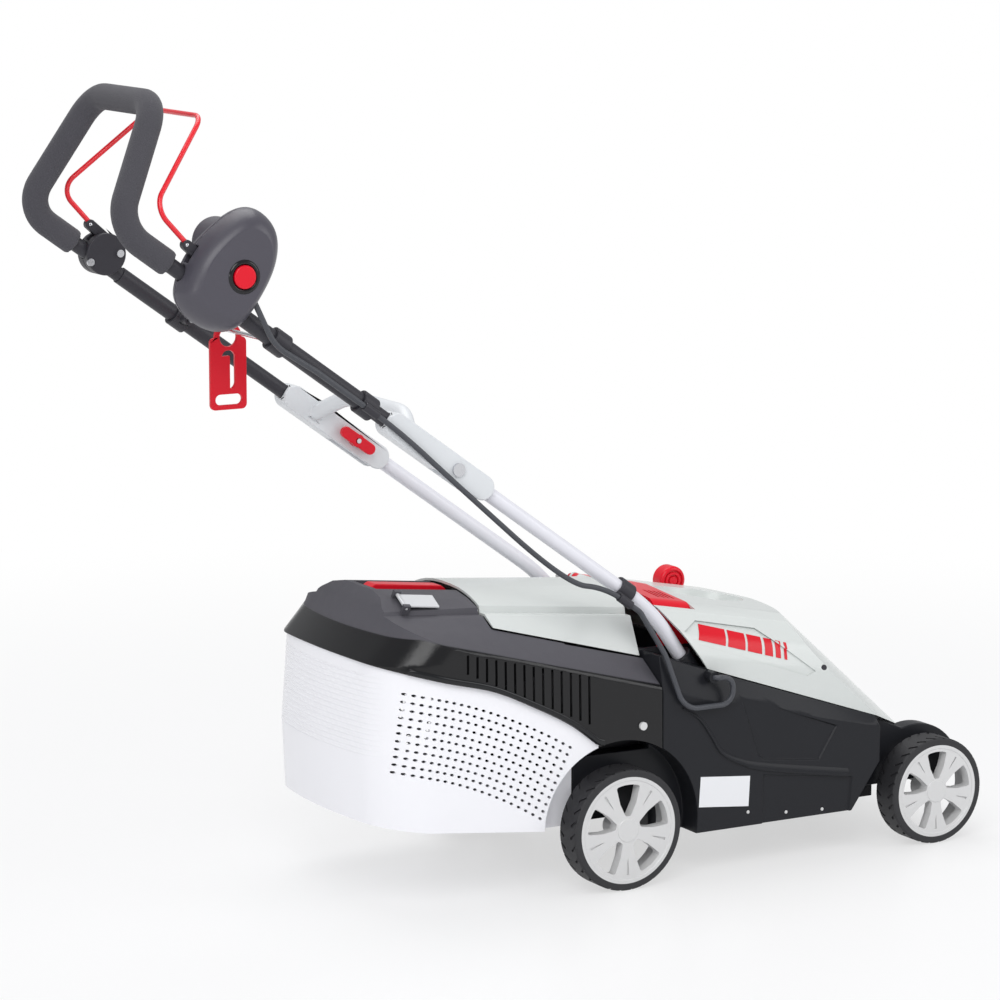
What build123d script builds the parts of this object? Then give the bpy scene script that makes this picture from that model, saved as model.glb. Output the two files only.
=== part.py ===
"""Corded electric lawn mower with a folding handle and a rear grass box.

Millimetres, +X forward, +Y to the mower's left, +Z up, ground at z = 0.
Places along X are worked out from the rear axle, places on the handle from its folding joint.
"""

import math
import os

from build123d import *

os.makedirs("parts", exist_ok=True)

# Clearances
FIT = 0.4
SLIP = 0.1
SWING_GAP = 2.5

# Stance and wheels
REAR_AXLE_X = 55.1
WHEELBASE = 457.0
REAR_WHEEL_R = 75.0
FRONT_WHEEL_R = 68.0
WHEEL_WIDTH = 38.0
WHEEL_OUT = 187.0
TYRE_DEPTH = 9.0
TREAD_DEPTH = 1.6
TREAD_BLOCKS = 30
RIM_LIP = 4.0
RIM_DISH = 1.0
SPOKES = 5
SPOKE_DEPTH = 15.0
HUB_R = 14.0

# Crank axles and the height linkage
STUB_R = 5.0
ARM_LENGTH = 32.0
ARM_THICK = 6.0
LINK_R = 34.0
LINK_THICK = 4.0
LINK_Y = 122.0
LEVER_DX = 252.0
LEVER_WIDTH = 14.0
KNOB_Z = 307.0
KNOB_R = 19.0
KNOB_WIDTH = 24.0

# Deck
DECK_HALF = 172.0
DECK_WALL = 4.0
DECK_BOTTOM = 54.0
DECK_SEAM_DX = 58.0
DECK_SIDE_FRONT_DX = 379.0
DECK_CEILING = 94.0
ARCH_R = 108.0
RIM_REAR_Z = 280.0
RIM_SLOPE = 0.343
SHOULDER_IN = 12.0
NOSE_BOTTOM_GAP = 0.5
NOSE_FRONT_Z = 106.0
FENDER_R = 72.0
FENDER_WIDTH = 24.0
BLADE_DX = 232.0
BLADE_R = 155.0
BLADE_Z = 64.0
CHAMBER_GAP = 9.0
CHUTE_REAR_DX = -50.0
CHUTE_HALF = 108.0
CHUTE_TOP = 205.0
RIVET_R = 5.0

# Motor and rotor
MOTOR_R = 55.0
MOTOR_HEIGHT = 120.0
MOTOR_WALL = 6.0
SHAFT_R = 7.0
FAN_R = 70.0
BLADE_WIDTH = 42.0
BLADE_THICK = 3.5

# Motor cover, vent cover and front cover
COVER_WALL = 3.0
COVER_REAR_DX = 122.0
COVER_HALF = 160.0
COVER_TOP = 333.0
COVER_SLOPE = 0.19
RIDGE_HALF = 124.0
RIDGE_DROP = 11.0
NOSE_TIP_DX = 462.0
PANEL_DEPTH = 1.6
HAND_LENGTH = 120.0
HAND_WIDTH = 92.0
HAND_DEPTH = 26.0
VENT_HALF = 115.0
VENT_LENGTH = 54.0
LOUVRES = 4
FRONT_COVER_THICK = 3.0
FRONT_COVER_HALF = 112.0

# Rear flap
FLAP_HALF = 121.0
FLAP_THICK = 3.0
FLAP_REAR_DX = -150.0
FLAP_REAR_Z = 364.5
FLAP_FRONT_Z = 347.0
HINGE_DX = 74.0
HINGE_Z = 337.0
BARREL_R = 6.5
FLAP_PIN_R = 3.0
LUG_Y = 60.0
LUG_WIDTH = 11.0

# Grass box
BOX_WALL = 2.5
BOX_REAR_DX = -325.0
BOX_BOW = 25.0
BOX_TAPER = 8.0
BOX_CORNER_R = 80.0
BOX_FLOOR_Z = 84.0
CROWN_Z = 361.0
CROWN_SLOPE = 0.115
LID_OVER = 3.0
GRIP_LENGTH = 104.0
GRIP_WIDTH = 22.0
GRIP_HEIGHT = 14.0
GRIP_WELL_DEPTH = 34.0
INDICATOR_LENGTH = 46.0
INDICATOR_WIDTH = 24.0
SLOT_COUNT = 14
SLOT_WIDTH = 3.2

# Handle
HANDLE_ANGLE = 35.7
HANDLE_HALF = 132.0
TUBE_R = 9.0
TUBE_WALL = 1.4
JOINT_DX = -212.0
JOINT_Z = 528.0
FOOT_ANGLE = 56.3
FOOT_BEND_RUN = 343.0
FOOT_RUN = 136.0
BEND_R = 220.0
BOLT_R = 3.0
CASING_R = 15.0
CASING_UP = 98.0
CASING_DOWN = 42.0
SLEEVE_THICK = 1.3
SLEEVE_START = 132.0
FAR_SLEEVE_START = 182.0
HOUSING_AT = 408.0
HOUSING_R = 23.0
HOUSING_WIDTH = 30.0
FOAM_R = 15.5
FOAM_START = 446.0
LOOP_KNEE = 521.0
LOOP_TOP_Z = 963.5
LOOP_TOP_DX = -565.0
LOOP_TOP_HALF = 83.0
KNEE_R = 40.0
TOP_R = 42.0
BAIL_R = 3.0
BAIL_PIVOT_LIFT = 25.0
BAIL_TOP_HALF = 68.0
ROD_AT = 279.0
ROD_R = 2.5
CLIP_UPPER_AT = 141.0
CLIP_WIDTH = 22.0
CABLE_R = 3.3
BUTTON_R = 13.5
BUTTON_STROKE = 5.0

# Values that follow
FRONT_AXLE_X = REAR_AXLE_X + WHEELBASE
WHEEL_IN = WHEEL_OUT - WHEEL_WIDTH
ARM_OUT = WHEEL_IN - SWING_GAP
ARM_IN = ARM_OUT - ARM_THICK
NOSE_HALF = ARM_IN - SWING_GAP
REAR_BAR_X = REAR_AXLE_X + ARM_LENGTH
FRONT_BAR_X = FRONT_AXLE_X + ARM_LENGTH
SLEEVE_R = TUBE_R + SLEEVE_THICK
BLADE_X = REAR_AXLE_X + BLADE_DX
JOINT_X = REAR_AXLE_X + JOINT_DX
HINGE_X = REAR_AXLE_X + HINGE_DX
RISE = math.radians(HANDLE_ANGLE)


def rear(offset):
    """Give the x of a place measured forward from the rear axle."""
    return REAR_AXLE_X + offset


def along(distance, lift=0.0):
    """Give (x, z) on the handle line, so far above the joint and lifted square to it."""
    x = JOINT_X - distance * math.cos(RISE) + lift * math.sin(RISE)
    z = JOINT_Z + distance * math.sin(RISE) + lift * math.cos(RISE)
    return x, z


def rim_z(x):
    """Give the height of the deck's upper rim, which the motor cover stands on."""
    return RIM_REAR_Z - RIM_SLOPE * (x - rear(DECK_SEAM_DX))


def save(part, name):
    """Label a finished piece and write it under its name."""
    part.label = name
    export_step(part, f"parts/{name}.step")


def side_prism(points, half, mode=Mode.ADD):
    """Extrude a side-view outline the same way both sides of the middle plane."""
    with BuildSketch(Plane.XZ) as outline:
        with BuildLine():
            Polyline(*points, close=True)
        make_face()
    extrude(outline.sketch, amount=half, both=True, mode=mode)


def side_slab(points, y_from, y_to, mode=Mode.ADD):
    """Extrude a side-view outline from one y to another."""
    with BuildSketch(Plane.XZ.offset(-y_from)) as outline:
        with BuildLine():
            Polyline(*points, close=True)
        make_face()
    extrude(outline.sketch, amount=y_from - y_to, mode=mode)


def block(x_span, y_span, z_span, mode=Mode.ADD):
    """Add or cut a square block between the given limits."""
    centre = [(low + high) / 2 for low, high in (x_span, y_span, z_span)]
    size = [high - low for low, high in (x_span, y_span, z_span)]
    with Locations(tuple(centre)):
        Box(*size, mode=mode)


def cross_round(x, z, radius, y_from, y_to, mode=Mode.ADD):
    """Add or cut a round bar that runs across the mower."""
    with Locations(Location((x, (y_from + y_to) / 2, z), (90, 0, 0))):
        Cylinder(radius, abs(y_to - y_from), mode=mode)


def swept_tube(points, radii, outer, inner=0.0):
    """Sweep a round section along straight runs joined by tangent arcs."""
    with BuildLine() as line:
        FilletPolyline(*points, radius=radii)
    route = line.wires()[0]
    with BuildSketch(Plane(origin=route @ 0, z_dir=route % 0)) as section:
        Circle(outer)
        if inner:
            Circle(inner, mode=Mode.SUBTRACT)
    sweep(section.sketch, path=route)
    return route.length


def link_plate(start, end, radius, y_from, y_to, mode=Mode.ADD):
    """Add or cut a round-ended plate between two side-view points."""
    middle = ((start[0] + end[0]) / 2, (start[1] + end[1]) / 2, 0)
    turn = math.degrees(math.atan2(end[1] - start[1], end[0] - start[0]))
    with BuildSketch(Plane.XZ.offset(-y_from)) as outline:
        with Locations(Location(middle, (0, 0, turn))):
            SlotCenterToCenter(math.dist(start, end), 2 * radius)
    extrude(outline.sketch, amount=y_from - y_to, mode=mode)


# Wheels
HUB_CAP = 8.0
BARREL_THICK = 3.5
GROOVE_DEPTH = 1.8
WINDOW = ((0.265, 0.053), (0.5, 0.17), (0.818, 0.252))
WINDOW_CROWN = 0.858
WINDOW_ROUND = 0.045
GROOVE = (0.52, 0.84, 0.027)


def wheel_place(axle_x, radius, side):
    """Give a wheel's place, with its own z axis pointing out from the mower."""
    middle = side * (WHEEL_OUT - WHEEL_WIDTH / 2)
    return Location((axle_x, middle, radius), (-side * 90, 0, 0))


def build_tyre(radius):
    """Make a rubber tyre with slanted tread notches on both shoulders."""
    notch = WHEEL_WIDTH / 3
    with BuildPart() as tyre:
        Cylinder(radius, WHEEL_WIDTH)
        fillet(tyre.edges().filter_by(GeomType.CIRCLE), TYRE_DEPTH / 3)
        for shoulder in (-1, 1):
            with Locations((0, 0, shoulder * (WHEEL_WIDTH - notch) / 2)):
                with PolarLocations(radius, TREAD_BLOCKS):
                    Box(
                        2 * TREAD_DEPTH,
                        2 * TREAD_DEPTH,
                        notch,
                        rotation=(shoulder * HANDLE_ANGLE, 0, 0),
                        mode=Mode.SUBTRACT,
                    )
        Cylinder(radius - TYRE_DEPTH, WHEEL_WIDTH, mode=Mode.SUBTRACT)
    return tyre.part


def build_rim(radius):
    """Make a spoked rim with windows, grooved spokes and a blind axle bore."""
    seat = radius - TYRE_DEPTH
    half = WHEEL_WIDTH / 2
    face = half - RIM_DISH
    back = half - SPOKE_DEPTH
    bore = STUB_R + SLIP
    outline = [
        (bore, -half),
        (HUB_R, -half),
        (HUB_R, back),
        (seat - BARREL_THICK, back),
        (seat - BARREL_THICK, -half),
        (seat, -half),
        (seat, half),
        (seat - RIM_LIP, half),
        (seat - RIM_LIP - RIM_DISH, face),
        (HUB_R + RIM_DISH, face),
        (HUB_R, half - SLIP),
        (0, half - SLIP),
        (0, half - HUB_CAP),
        (bore, half - HUB_CAP),
    ]
    edge = [(seat * reach, seat * wide) for reach, wide in WINDOW]
    other = [(reach, -wide) for reach, wide in edge]
    groove = [
        (seat * GROOVE[0], 0),
        (seat * GROOVE[1], -seat * GROOVE[2]),
        (seat * GROOVE[1], seat * GROOVE[2]),
    ]
    with BuildPart() as rim:
        with BuildSketch(Plane.XZ):
            with BuildLine():
                Polyline(*outline, close=True)
            make_face()
        revolve(axis=Axis.Z)
        for spoke in range(SPOKES):
            turn = 90 + spoke * 360 / SPOKES
            with BuildSketch(Plane.XY.offset(face).rotated((0, 0, turn))):
                with BuildLine():
                    Polyline(edge[2], edge[1], edge[0], other[0], other[1], other[2])
                    ThreePointArc(other[2], (seat * WINDOW_CROWN, 0), edge[2])
                make_face()
                fillet(vertices(), seat * WINDOW_ROUND)
            extrude(amount=-2 * SPOKE_DEPTH, mode=Mode.SUBTRACT)
            with BuildSketch(Plane.XY.offset(face).rotated((0, 0, turn + 180 / SPOKES))):
                with BuildLine():
                    Polyline(*groove, close=True)
                make_face()
            extrude(amount=-GROOVE_DEPTH, mode=Mode.SUBTRACT)
    return rim.part


for axle_name, axle_x, wheel_r in (
    ("rear", REAR_AXLE_X, REAR_WHEEL_R),
    ("front", FRONT_AXLE_X, FRONT_WHEEL_R),
):
    tyre_shape = build_tyre(wheel_r)
    rim_shape = build_rim(wheel_r)
    for side_name, side in (("right", -1), ("left", 1)):
        place = wheel_place(axle_x, wheel_r, side)
        save(tyre_shape.moved(place), f"tyre_{axle_name}_{side_name}")
        save(rim_shape.moved(place), f"rim_{axle_name}_{side_name}")


# Crank axles, link rod, lever and knob
CRANK_Y = LINK_Y - LINK_THICK - FIT
LEVER_Y = LINK_Y + LINK_THICK + FIT
PIN_R = 4.0
PLATE_R = 7.0
ROD_HALF = 4.5
LEVER_SWING = 25.0
ARM_R = 8.0
STUB_END = WHEEL_OUT - HUB_CAP - 1.0
LEVER_X = rear(LEVER_DX)
REAR_PIN_Z = REAR_WHEEL_R + LINK_R
FRONT_PIN_Z = FRONT_WHEEL_R + LINK_R


def link_z(x):
    """Give the height of the link rod's middle line."""
    share = (x - REAR_BAR_X) / WHEELBASE
    return REAR_PIN_Z + share * (FRONT_PIN_Z - REAR_PIN_Z)


LEVER_PIVOT_Z = link_z(LEVER_X) + LINK_R


def build_axle(stub_x, axis_z):
    """Make a crank axle: cross bar, trailing arms, wheel stubs and the link crank."""
    bar_x = stub_x + ARM_LENGTH
    with BuildPart() as axle:
        cross_round(bar_x, axis_z, STUB_R, -ARM_OUT, ARM_OUT)
        for side in (-1, 1):
            ends = sorted((side * ARM_IN, side * ARM_OUT))
            link_plate((bar_x, axis_z), (stub_x, axis_z), ARM_R, ends[1], ends[0])
            cross_round(stub_x, axis_z, STUB_R, side * ARM_IN, side * STUB_END)
        top = (bar_x, axis_z + LINK_R)
        link_plate((bar_x, axis_z), top, PLATE_R, CRANK_Y + LINK_THICK, CRANK_Y)
        cross_round(*top, PIN_R, CRANK_Y, LINK_Y + LINK_THICK)
    return axle.part


save(build_axle(REAR_AXLE_X, REAR_WHEEL_R), "rear_axle")
save(build_axle(FRONT_AXLE_X, FRONT_WHEEL_R), "front_axle")

with BuildPart() as link_rod:
    rod_ends = ((REAR_BAR_X, REAR_PIN_Z), (FRONT_BAR_X, FRONT_PIN_Z))
    rod_span = (LINK_Y + LINK_THICK, LINK_Y)
    link_plate(*rod_ends, ROD_HALF, *rod_span)
    for pin in rod_ends:
        cross_round(*pin, PLATE_R - 1.0, *rod_span)
        cross_round(*pin, PIN_R + SLIP, *rod_span, mode=Mode.SUBTRACT)
    # Upright slot that the lever's pin climbs as the rod sinks
    climb = 2 * LINK_R * (1 - math.cos(math.radians(LEVER_SWING))) + FIT
    slot_ends = ((LEVER_X, link_z(LEVER_X)), (LEVER_X, link_z(LEVER_X) + climb))
    link_plate(*slot_ends, PLATE_R, *rod_span)
    link_plate(*slot_ends, PIN_R + SLIP, *rod_span, mode=Mode.SUBTRACT)
save(link_rod.part, "link_rod")

with BuildPart() as height_lever:
    pivot = (LEVER_X, LEVER_PIVOT_Z)
    lever_foot = (LEVER_X, link_z(LEVER_X))
    lever_span = (LEVER_Y + LINK_THICK, LEVER_Y)
    link_plate(lever_foot, (LEVER_X, KNOB_Z), LEVER_WIDTH / 2, *lever_span)
    with BuildSketch(Plane.XZ.offset(-lever_span[0])):
        with Locations(pivot, lever_foot):
            Circle(LEVER_WIDTH * 0.8)
    extrude(amount=LINK_THICK)
    cross_round(*pivot, PIN_R + SLIP, *lever_span, mode=Mode.SUBTRACT)
    cross_round(*lever_foot, PIN_R, LINK_Y, LEVER_Y)
save(height_lever.part, "height_lever")

with BuildPart() as height_knob:
    knob_from = LEVER_Y + LINK_THICK / 2 - KNOB_WIDTH / 2
    knob_to = knob_from + KNOB_WIDTH
    cross_round(LEVER_X, KNOB_Z, KNOB_R, knob_from, knob_to)
    fillet(height_knob.edges().filter_by(GeomType.CIRCLE), KNOB_R / 4)
    for ring in (0.72, 0.42):
        ring_depth = knob_from + KNOB_WIDTH / 8
        cross_round(LEVER_X, KNOB_Z, KNOB_R * ring, knob_from, ring_depth, mode=Mode.SUBTRACT)
        cross_round(LEVER_X, KNOB_Z, KNOB_R * (ring - 0.12), knob_from, ring_depth)
    socket_ends = ((LEVER_X, KNOB_Z), (LEVER_X, KNOB_Z - 2 * KNOB_R))
    link_plate(*socket_ends, LEVER_WIDTH / 2, *lever_span, mode=Mode.SUBTRACT)
save(height_knob.part, "height_knob")


# Deck
DECK_FRONT_X = FRONT_AXLE_X + FRONT_WHEEL_R - 3.0
SEAM_X = rear(DECK_SEAM_DX)
SIDE_FRONT_X = rear(DECK_SIDE_FRONT_DX)
NOSE_REAR_X = SIDE_FRONT_X - 34.0
NOSE_BOTTOM = FRONT_WHEEL_R + STUB_R + NOSE_BOTTOM_GAP
CHUTE_BOTTOM = REAR_WHEEL_R + STUB_R + NOSE_BOTTOM_GAP
CHUTE_REAR_X = rear(CHUTE_REAR_DX)
CHAMBER_R = BLADE_R + CHAMBER_GAP
SKIRT_HALF = CHUTE_HALF + 3 * DECK_WALL
SKIRT_FRONT_X = BLADE_X + CHAMBER_R + 2 * DECK_WALL
SKIRT_REAR_X = BLADE_X - CHAMBER_R - 2 * DECK_WALL
BAY_REAR_X = SEAM_X + 76.0
SIDE_LEAN = 42.0
SHOULDER_FRONT = 13.0
SHOULDER_REAR = 46.0
FOOT_LEAN = math.radians(FOOT_ANGLE)
BEND_X, BEND_Z = along(-FOOT_BEND_RUN)


def foot(distance):
    """Give (x, z) on the handle tube's steep lower leg, so far below its bend."""
    x = BEND_X + distance * math.cos(FOOT_LEAN)
    z = BEND_Z - distance * math.sin(FOOT_LEAN)
    return x, z


def nose_z(x):
    """Give the height of the nose's sloping top."""
    share = (x - NOSE_REAR_X) / (DECK_FRONT_X - NOSE_REAR_X)
    return rim_z(NOSE_REAR_X) + share * (NOSE_FRONT_Z - rim_z(NOSE_REAR_X))


def deck_block(inset, bottom, rear_x):
    """Make the deck's wide middle, whose upper band leans in from the shoulder to the rim."""
    front_x = SIDE_FRONT_X - inset
    lean_x = front_x - SIDE_LEAN
    lean_z = bottom + SIDE_LEAN * 1.4
    base = [(rear_x, bottom), (lean_x, bottom), (front_x, lean_z)]
    band = [
        (y, base + [(front_x, rim_z(front_x) - front), (rear_x, rim_z(rear_x) - back)])
        for y, front, back in (
            (DECK_HALF - SHOULDER_IN - inset, 0.0, 0.0),
            (DECK_HALF - inset, SHOULDER_FRONT, SHOULDER_REAR),
        )
    ]
    with BuildPart() as body:
        side_prism(band[0][1], band[0][0])
        for side in (-1, 1):
            faces = []
            for y, points in band:
                with BuildSketch(Plane.XZ.offset(-side * y)) as outline:
                    with BuildLine():
                        Polyline(*points, close=True)
                    make_face()
                faces.append(outline.sketch.face())
            loft(faces, ruled=True)
    return body.part


deck_middle = deck_block(0.0, DECK_BOTTOM, SEAM_X)
deck_bay = deck_block(DECK_WALL, DECK_CEILING, BAY_REAR_X)
NOSE_OUTLINE = [
    (NOSE_REAR_X, NOSE_BOTTOM),
    (DECK_FRONT_X - 4 * DECK_WALL, NOSE_BOTTOM),
    (DECK_FRONT_X, NOSE_FRONT_Z - 4 * DECK_WALL),
    (DECK_FRONT_X, NOSE_FRONT_Z),
    (NOSE_REAR_X, rim_z(NOSE_REAR_X)),
]
NOSE_HOLLOW = [
    (SKIRT_FRONT_X + DECK_WALL, NOSE_BOTTOM - DECK_WALL),
    (DECK_FRONT_X - 5 * DECK_WALL, NOSE_BOTTOM - DECK_WALL),
    (DECK_FRONT_X - DECK_WALL, NOSE_FRONT_Z - 4 * DECK_WALL),
    (DECK_FRONT_X - DECK_WALL, nose_z(DECK_FRONT_X - DECK_WALL) - DECK_WALL),
    (SKIRT_FRONT_X + DECK_WALL, nose_z(SKIRT_FRONT_X + DECK_WALL) - DECK_WALL),
]
CHUTE_KNEE_X = SEAM_X - 12 * DECK_WALL


def chute_z(x):
    """Give the height of the chute's sloping roof, which the grass box hangs on."""
    share = (x - CHUTE_REAR_X) / (CHUTE_KNEE_X - CHUTE_REAR_X)
    return CHUTE_TOP + DECK_WALL + 4 * DECK_WALL * share


CHUTE_SHELL = [
    (CHUTE_REAR_X, CHUTE_BOTTOM),
    (BAY_REAR_X, CHUTE_BOTTOM),
    (BAY_REAR_X, rim_z(SEAM_X)),
    (SEAM_X, rim_z(SEAM_X)),
    (CHUTE_KNEE_X, CHUTE_TOP + 5 * DECK_WALL),
    (CHUTE_REAR_X, CHUTE_TOP + DECK_WALL),
]
CHUTE_ROOF_X = SEAM_X - 7 * DECK_WALL
CHUTE_HOLLOW = [
    (CHUTE_REAR_X - DECK_WALL, CHUTE_BOTTOM + DECK_WALL),
    (SKIRT_REAR_X + 12 * DECK_WALL, CHUTE_BOTTOM + DECK_WALL),
    (SKIRT_REAR_X + 14 * DECK_WALL, DECK_CEILING - DECK_WALL),
    (CHUTE_ROOF_X, CHUTE_TOP),
    (CHUTE_REAR_X - DECK_WALL, CHUTE_TOP),
]
ROOF_RUN = (CHUTE_TOP - DECK_CEILING) / (SKIRT_REAR_X + 14 * DECK_WALL - CHUTE_ROOF_X)
WELL = [
    (SEAM_X + 2 * DECK_WALL, rim_z(SEAM_X) + DECK_WALL),
    (BAY_REAR_X - DECK_WALL, rim_z(SEAM_X) + DECK_WALL),
    (BAY_REAR_X - DECK_WALL, CHUTE_TOP - ROOF_RUN * (BAY_REAR_X - CHUTE_ROOF_X) + 6 * DECK_WALL),
    (SEAM_X + 2 * DECK_WALL, CHUTE_TOP - ROOF_RUN * (SEAM_X - CHUTE_ROOF_X) + 3 * DECK_WALL),
]
SOCKET_TOP = foot(0.5 * FOOT_RUN)
SOCKET_END = foot(FOOT_RUN)
RIVET_DX = 29.0
RIVET_Z = 198.0
PANEL_IN = 2.5

with BuildPart() as deck:
    add(deck_middle)
    side_prism(NOSE_OUTLINE, NOSE_HALF)
    side_prism(CHUTE_SHELL, CHUTE_HALF + 2 * DECK_WALL)
    block((CHUTE_REAR_X, BAY_REAR_X), (-NOSE_HALF, NOSE_HALF), (CHUTE_BOTTOM, 2 * CHUTE_BOTTOM))
    skirt_x = (SKIRT_REAR_X, SKIRT_FRONT_X)
    block(skirt_x, (-SKIRT_HALF, SKIRT_HALF), (DECK_BOTTOM, DECK_CEILING))
    for side in (-1, 1):
        fender_y = max(side * (NOSE_HALF - FENDER_WIDTH), side * NOSE_HALF)
        with BuildSketch(Plane.XZ.offset(-fender_y)):
            with Locations((FRONT_AXLE_X, NOSE_BOTTOM)):
                Circle(FENDER_R)
                Rectangle(
                    2 * FENDER_R,
                    FENDER_R,
                    align=(Align.CENTER, Align.MAX),
                    mode=Mode.SUBTRACT,
                )
        extrude(amount=FENDER_WIDTH)
    # Wheel arches, and the side panels let in below and in front of the arch
    for side in (-1, 1):
        arch_ends = (side * NOSE_HALF, side * (DECK_HALF + SHOULDER_IN))
        cross_round(REAR_AXLE_X, REAR_WHEEL_R, ARCH_R, *arch_ends, mode=Mode.SUBTRACT)
        panel_ends = sorted((side * (DECK_HALF - PANEL_IN), side * (DECK_HALF + PANEL_IN)))
        upper_panel = [
            (SEAM_X + 112, 218),
            (SEAM_X + 139, 142),
            (SEAM_X + 147, 136),
            (SEAM_X + 229, 126),
            (SEAM_X + 255, 166),
        ]
        lower_panel = [
            (SEAM_X + 146, 116),
            (SEAM_X + 279, 98),
            (SEAM_X + 274, DECK_BOTTOM - PANEL_IN),
            (SEAM_X + 146, DECK_BOTTOM - PANEL_IN),
        ]
        for panel in (upper_panel, lower_panel):
            side_slab(panel, panel_ends[1], panel_ends[0], mode=Mode.SUBTRACT)
    # Motor bay above the ceiling and cutting chamber below it
    add(deck_bay, mode=Mode.SUBTRACT)
    with Locations((BLADE_X, 0, DECK_CEILING - DECK_WALL)):
        Cylinder(
            CHAMBER_R,
            DECK_CEILING,
            align=(Align.CENTER, Align.CENTER, Align.MAX),
            mode=Mode.SUBTRACT,
        )
    side_prism(CHUTE_HOLLOW, CHUTE_HALF, mode=Mode.SUBTRACT)
    side_prism(WELL, CHUTE_HALF, mode=Mode.SUBTRACT)
    side_prism(NOSE_HOLLOW, NOSE_HALF - DECK_WALL, mode=Mode.SUBTRACT)
    # Side pockets beside the chute, the left one for the link crank
    pocket_z = (CHUTE_BOTTOM - DECK_WALL, 2 * CHUTE_BOTTOM - DECK_WALL)
    for side in (-1, 1):
        pocket_y = sorted((side * (CHUTE_HALF + DECK_WALL), side * (NOSE_HALF - DECK_WALL)))
        pocket_x = (CHUTE_REAR_X + DECK_WALL, BAY_REAR_X + DECK_WALL)
        block(pocket_x, pocket_y, pocket_z, mode=Mode.SUBTRACT)
        upper_y = sorted((side * (CHUTE_HALF + 3 * DECK_WALL), side * (DECK_HALF - 4 * DECK_WALL)))
        upper_x = (SEAM_X + DECK_WALL, BAY_REAR_X + DECK_WALL)
        upper_z = (REAR_WHEEL_R + ARCH_R + DECK_WALL, rim_z(BAY_REAR_X) - 2 * DECK_WALL)
        block(upper_x, upper_y, upper_z, mode=Mode.SUBTRACT)
    # Way for the link rod between the pocket, the bay and the nose
    rod_y = (CRANK_Y - SWING_GAP, LEVER_Y + LINK_THICK + SWING_GAP)
    rod_z = (DECK_CEILING, REAR_PIN_Z + LINK_THICK + SWING_GAP)
    block((REAR_BAR_X, FRONT_AXLE_X), rod_y, rod_z, mode=Mode.SUBTRACT)
    # Lever pivot post with its pin
    post_y = (LEVER_Y + LINK_THICK + FIT, LEVER_Y + LINK_THICK + 3 * DECK_WALL)
    post_x = (LEVER_X - LEVER_WIDTH, LEVER_X + LEVER_WIDTH)
    block(post_x, post_y, (DECK_CEILING - DECK_WALL, LEVER_PIVOT_Z + LEVER_WIDTH))
    cross_round(LEVER_X, LEVER_PIVOT_Z, PIN_R, LEVER_Y, post_y[1])
    # Handle sockets
    for side in (-1, 1):
        socket_mid = Vector(
            (SOCKET_TOP[0] + SOCKET_END[0]) / 2,
            side * HANDLE_HALF,
            (SOCKET_TOP[1] + SOCKET_END[1]) / 2,
        )
        lean = Location(socket_mid, (0, 180 - math.degrees(math.pi / 2 - FOOT_LEAN), 0))
        with Locations(lean):
            Cylinder(CASING_R, 0.5 * FOOT_RUN)
    for side in (-1, 1):
        bore_end = Location((SOCKET_END[0], side * HANDLE_HALF, SOCKET_END[1]), lean.orientation)
        with Locations(bore_end):
            Cylinder(
                TUBE_R + SLIP,
                2 * FOOT_RUN,
                align=(Align.CENTER, Align.CENTER, Align.MAX),
                mode=Mode.SUBTRACT,
            )
    # Shaft hole in the ceiling
    with Locations((BLADE_X, 0, DECK_CEILING)):
        Cylinder(SHAFT_R + 6 * FIT, 4 * DECK_WALL, mode=Mode.SUBTRACT)
save(deck.part, "deck")


# Motor and rotor
MOTOR_TOP = DECK_CEILING + MOTOR_HEIGHT
FLANGE_R = MOTOR_R + 14.0
FLANGE_THICK = 5.0
CORE_R = MOTOR_R - MOTOR_WALL - 4.0
BLADE_LOW = BLADE_Z - BLADE_THICK / 2
BLADE_HIGH = BLADE_Z + BLADE_THICK / 2
CARRIER_TOP = DECK_CEILING - DECK_WALL - 5.0
SCREW_R = 2.5
SCREW_HEAD_R = 4.5
SCREW_HEAD = 3.0
BOLT_HEAD = 7.0
VANES = 9
VANE_SHORT = 4.0


def upright(radius, z_from, z_to, mode=Mode.ADD):
    """Add or cut a round bar on the blade's axis."""
    with Locations((BLADE_X, 0, (z_from + z_to) / 2)):
        Cylinder(radius, z_to - z_from, mode=mode)


with BuildPart() as motor_housing:
    upright(MOTOR_R, DECK_CEILING, MOTOR_TOP)
    upright(FLANGE_R, DECK_CEILING, DECK_CEILING + FLANGE_THICK)
    upright(MOTOR_R - MOTOR_WALL, DECK_CEILING + MOTOR_WALL, MOTOR_TOP - MOTOR_WALL, mode=Mode.SUBTRACT)
    upright(SHAFT_R + SLIP, DECK_CEILING, MOTOR_TOP - MOTOR_WALL / 2, mode=Mode.SUBTRACT)
    with Locations((BLADE_X, 0, DECK_CEILING)):
        with PolarLocations((MOTOR_R + FLANGE_R) / 2, 4, start_angle=45):
            Cylinder(SCREW_R + SLIP, 4 * FLANGE_THICK, mode=Mode.SUBTRACT)
save(motor_housing.part, "motor_housing")

with BuildPart() as motor_screws:
    with Locations((BLADE_X, 0, DECK_CEILING + FLANGE_THICK)):
        with PolarLocations((MOTOR_R + FLANGE_R) / 2, 4, start_angle=45):
            Cylinder(SCREW_HEAD_R, SCREW_HEAD, align=(Align.CENTER, Align.CENTER, Align.MIN))
            Cylinder(SCREW_R, FLANGE_THICK, align=(Align.CENTER, Align.CENTER, Align.MAX))
save(motor_screws.part, "motor_screws")

with BuildPart() as motor_rotor:
    upright(SHAFT_R, BLADE_HIGH, MOTOR_TOP - MOTOR_WALL)
    upright(CORE_R, DECK_CEILING + 4 * MOTOR_WALL, MOTOR_TOP - 4 * MOTOR_WALL)
    upright(SCREW_R + SLIP, BLADE_HIGH, DECK_CEILING, mode=Mode.SUBTRACT)
save(motor_rotor.part, "motor_rotor")

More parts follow.
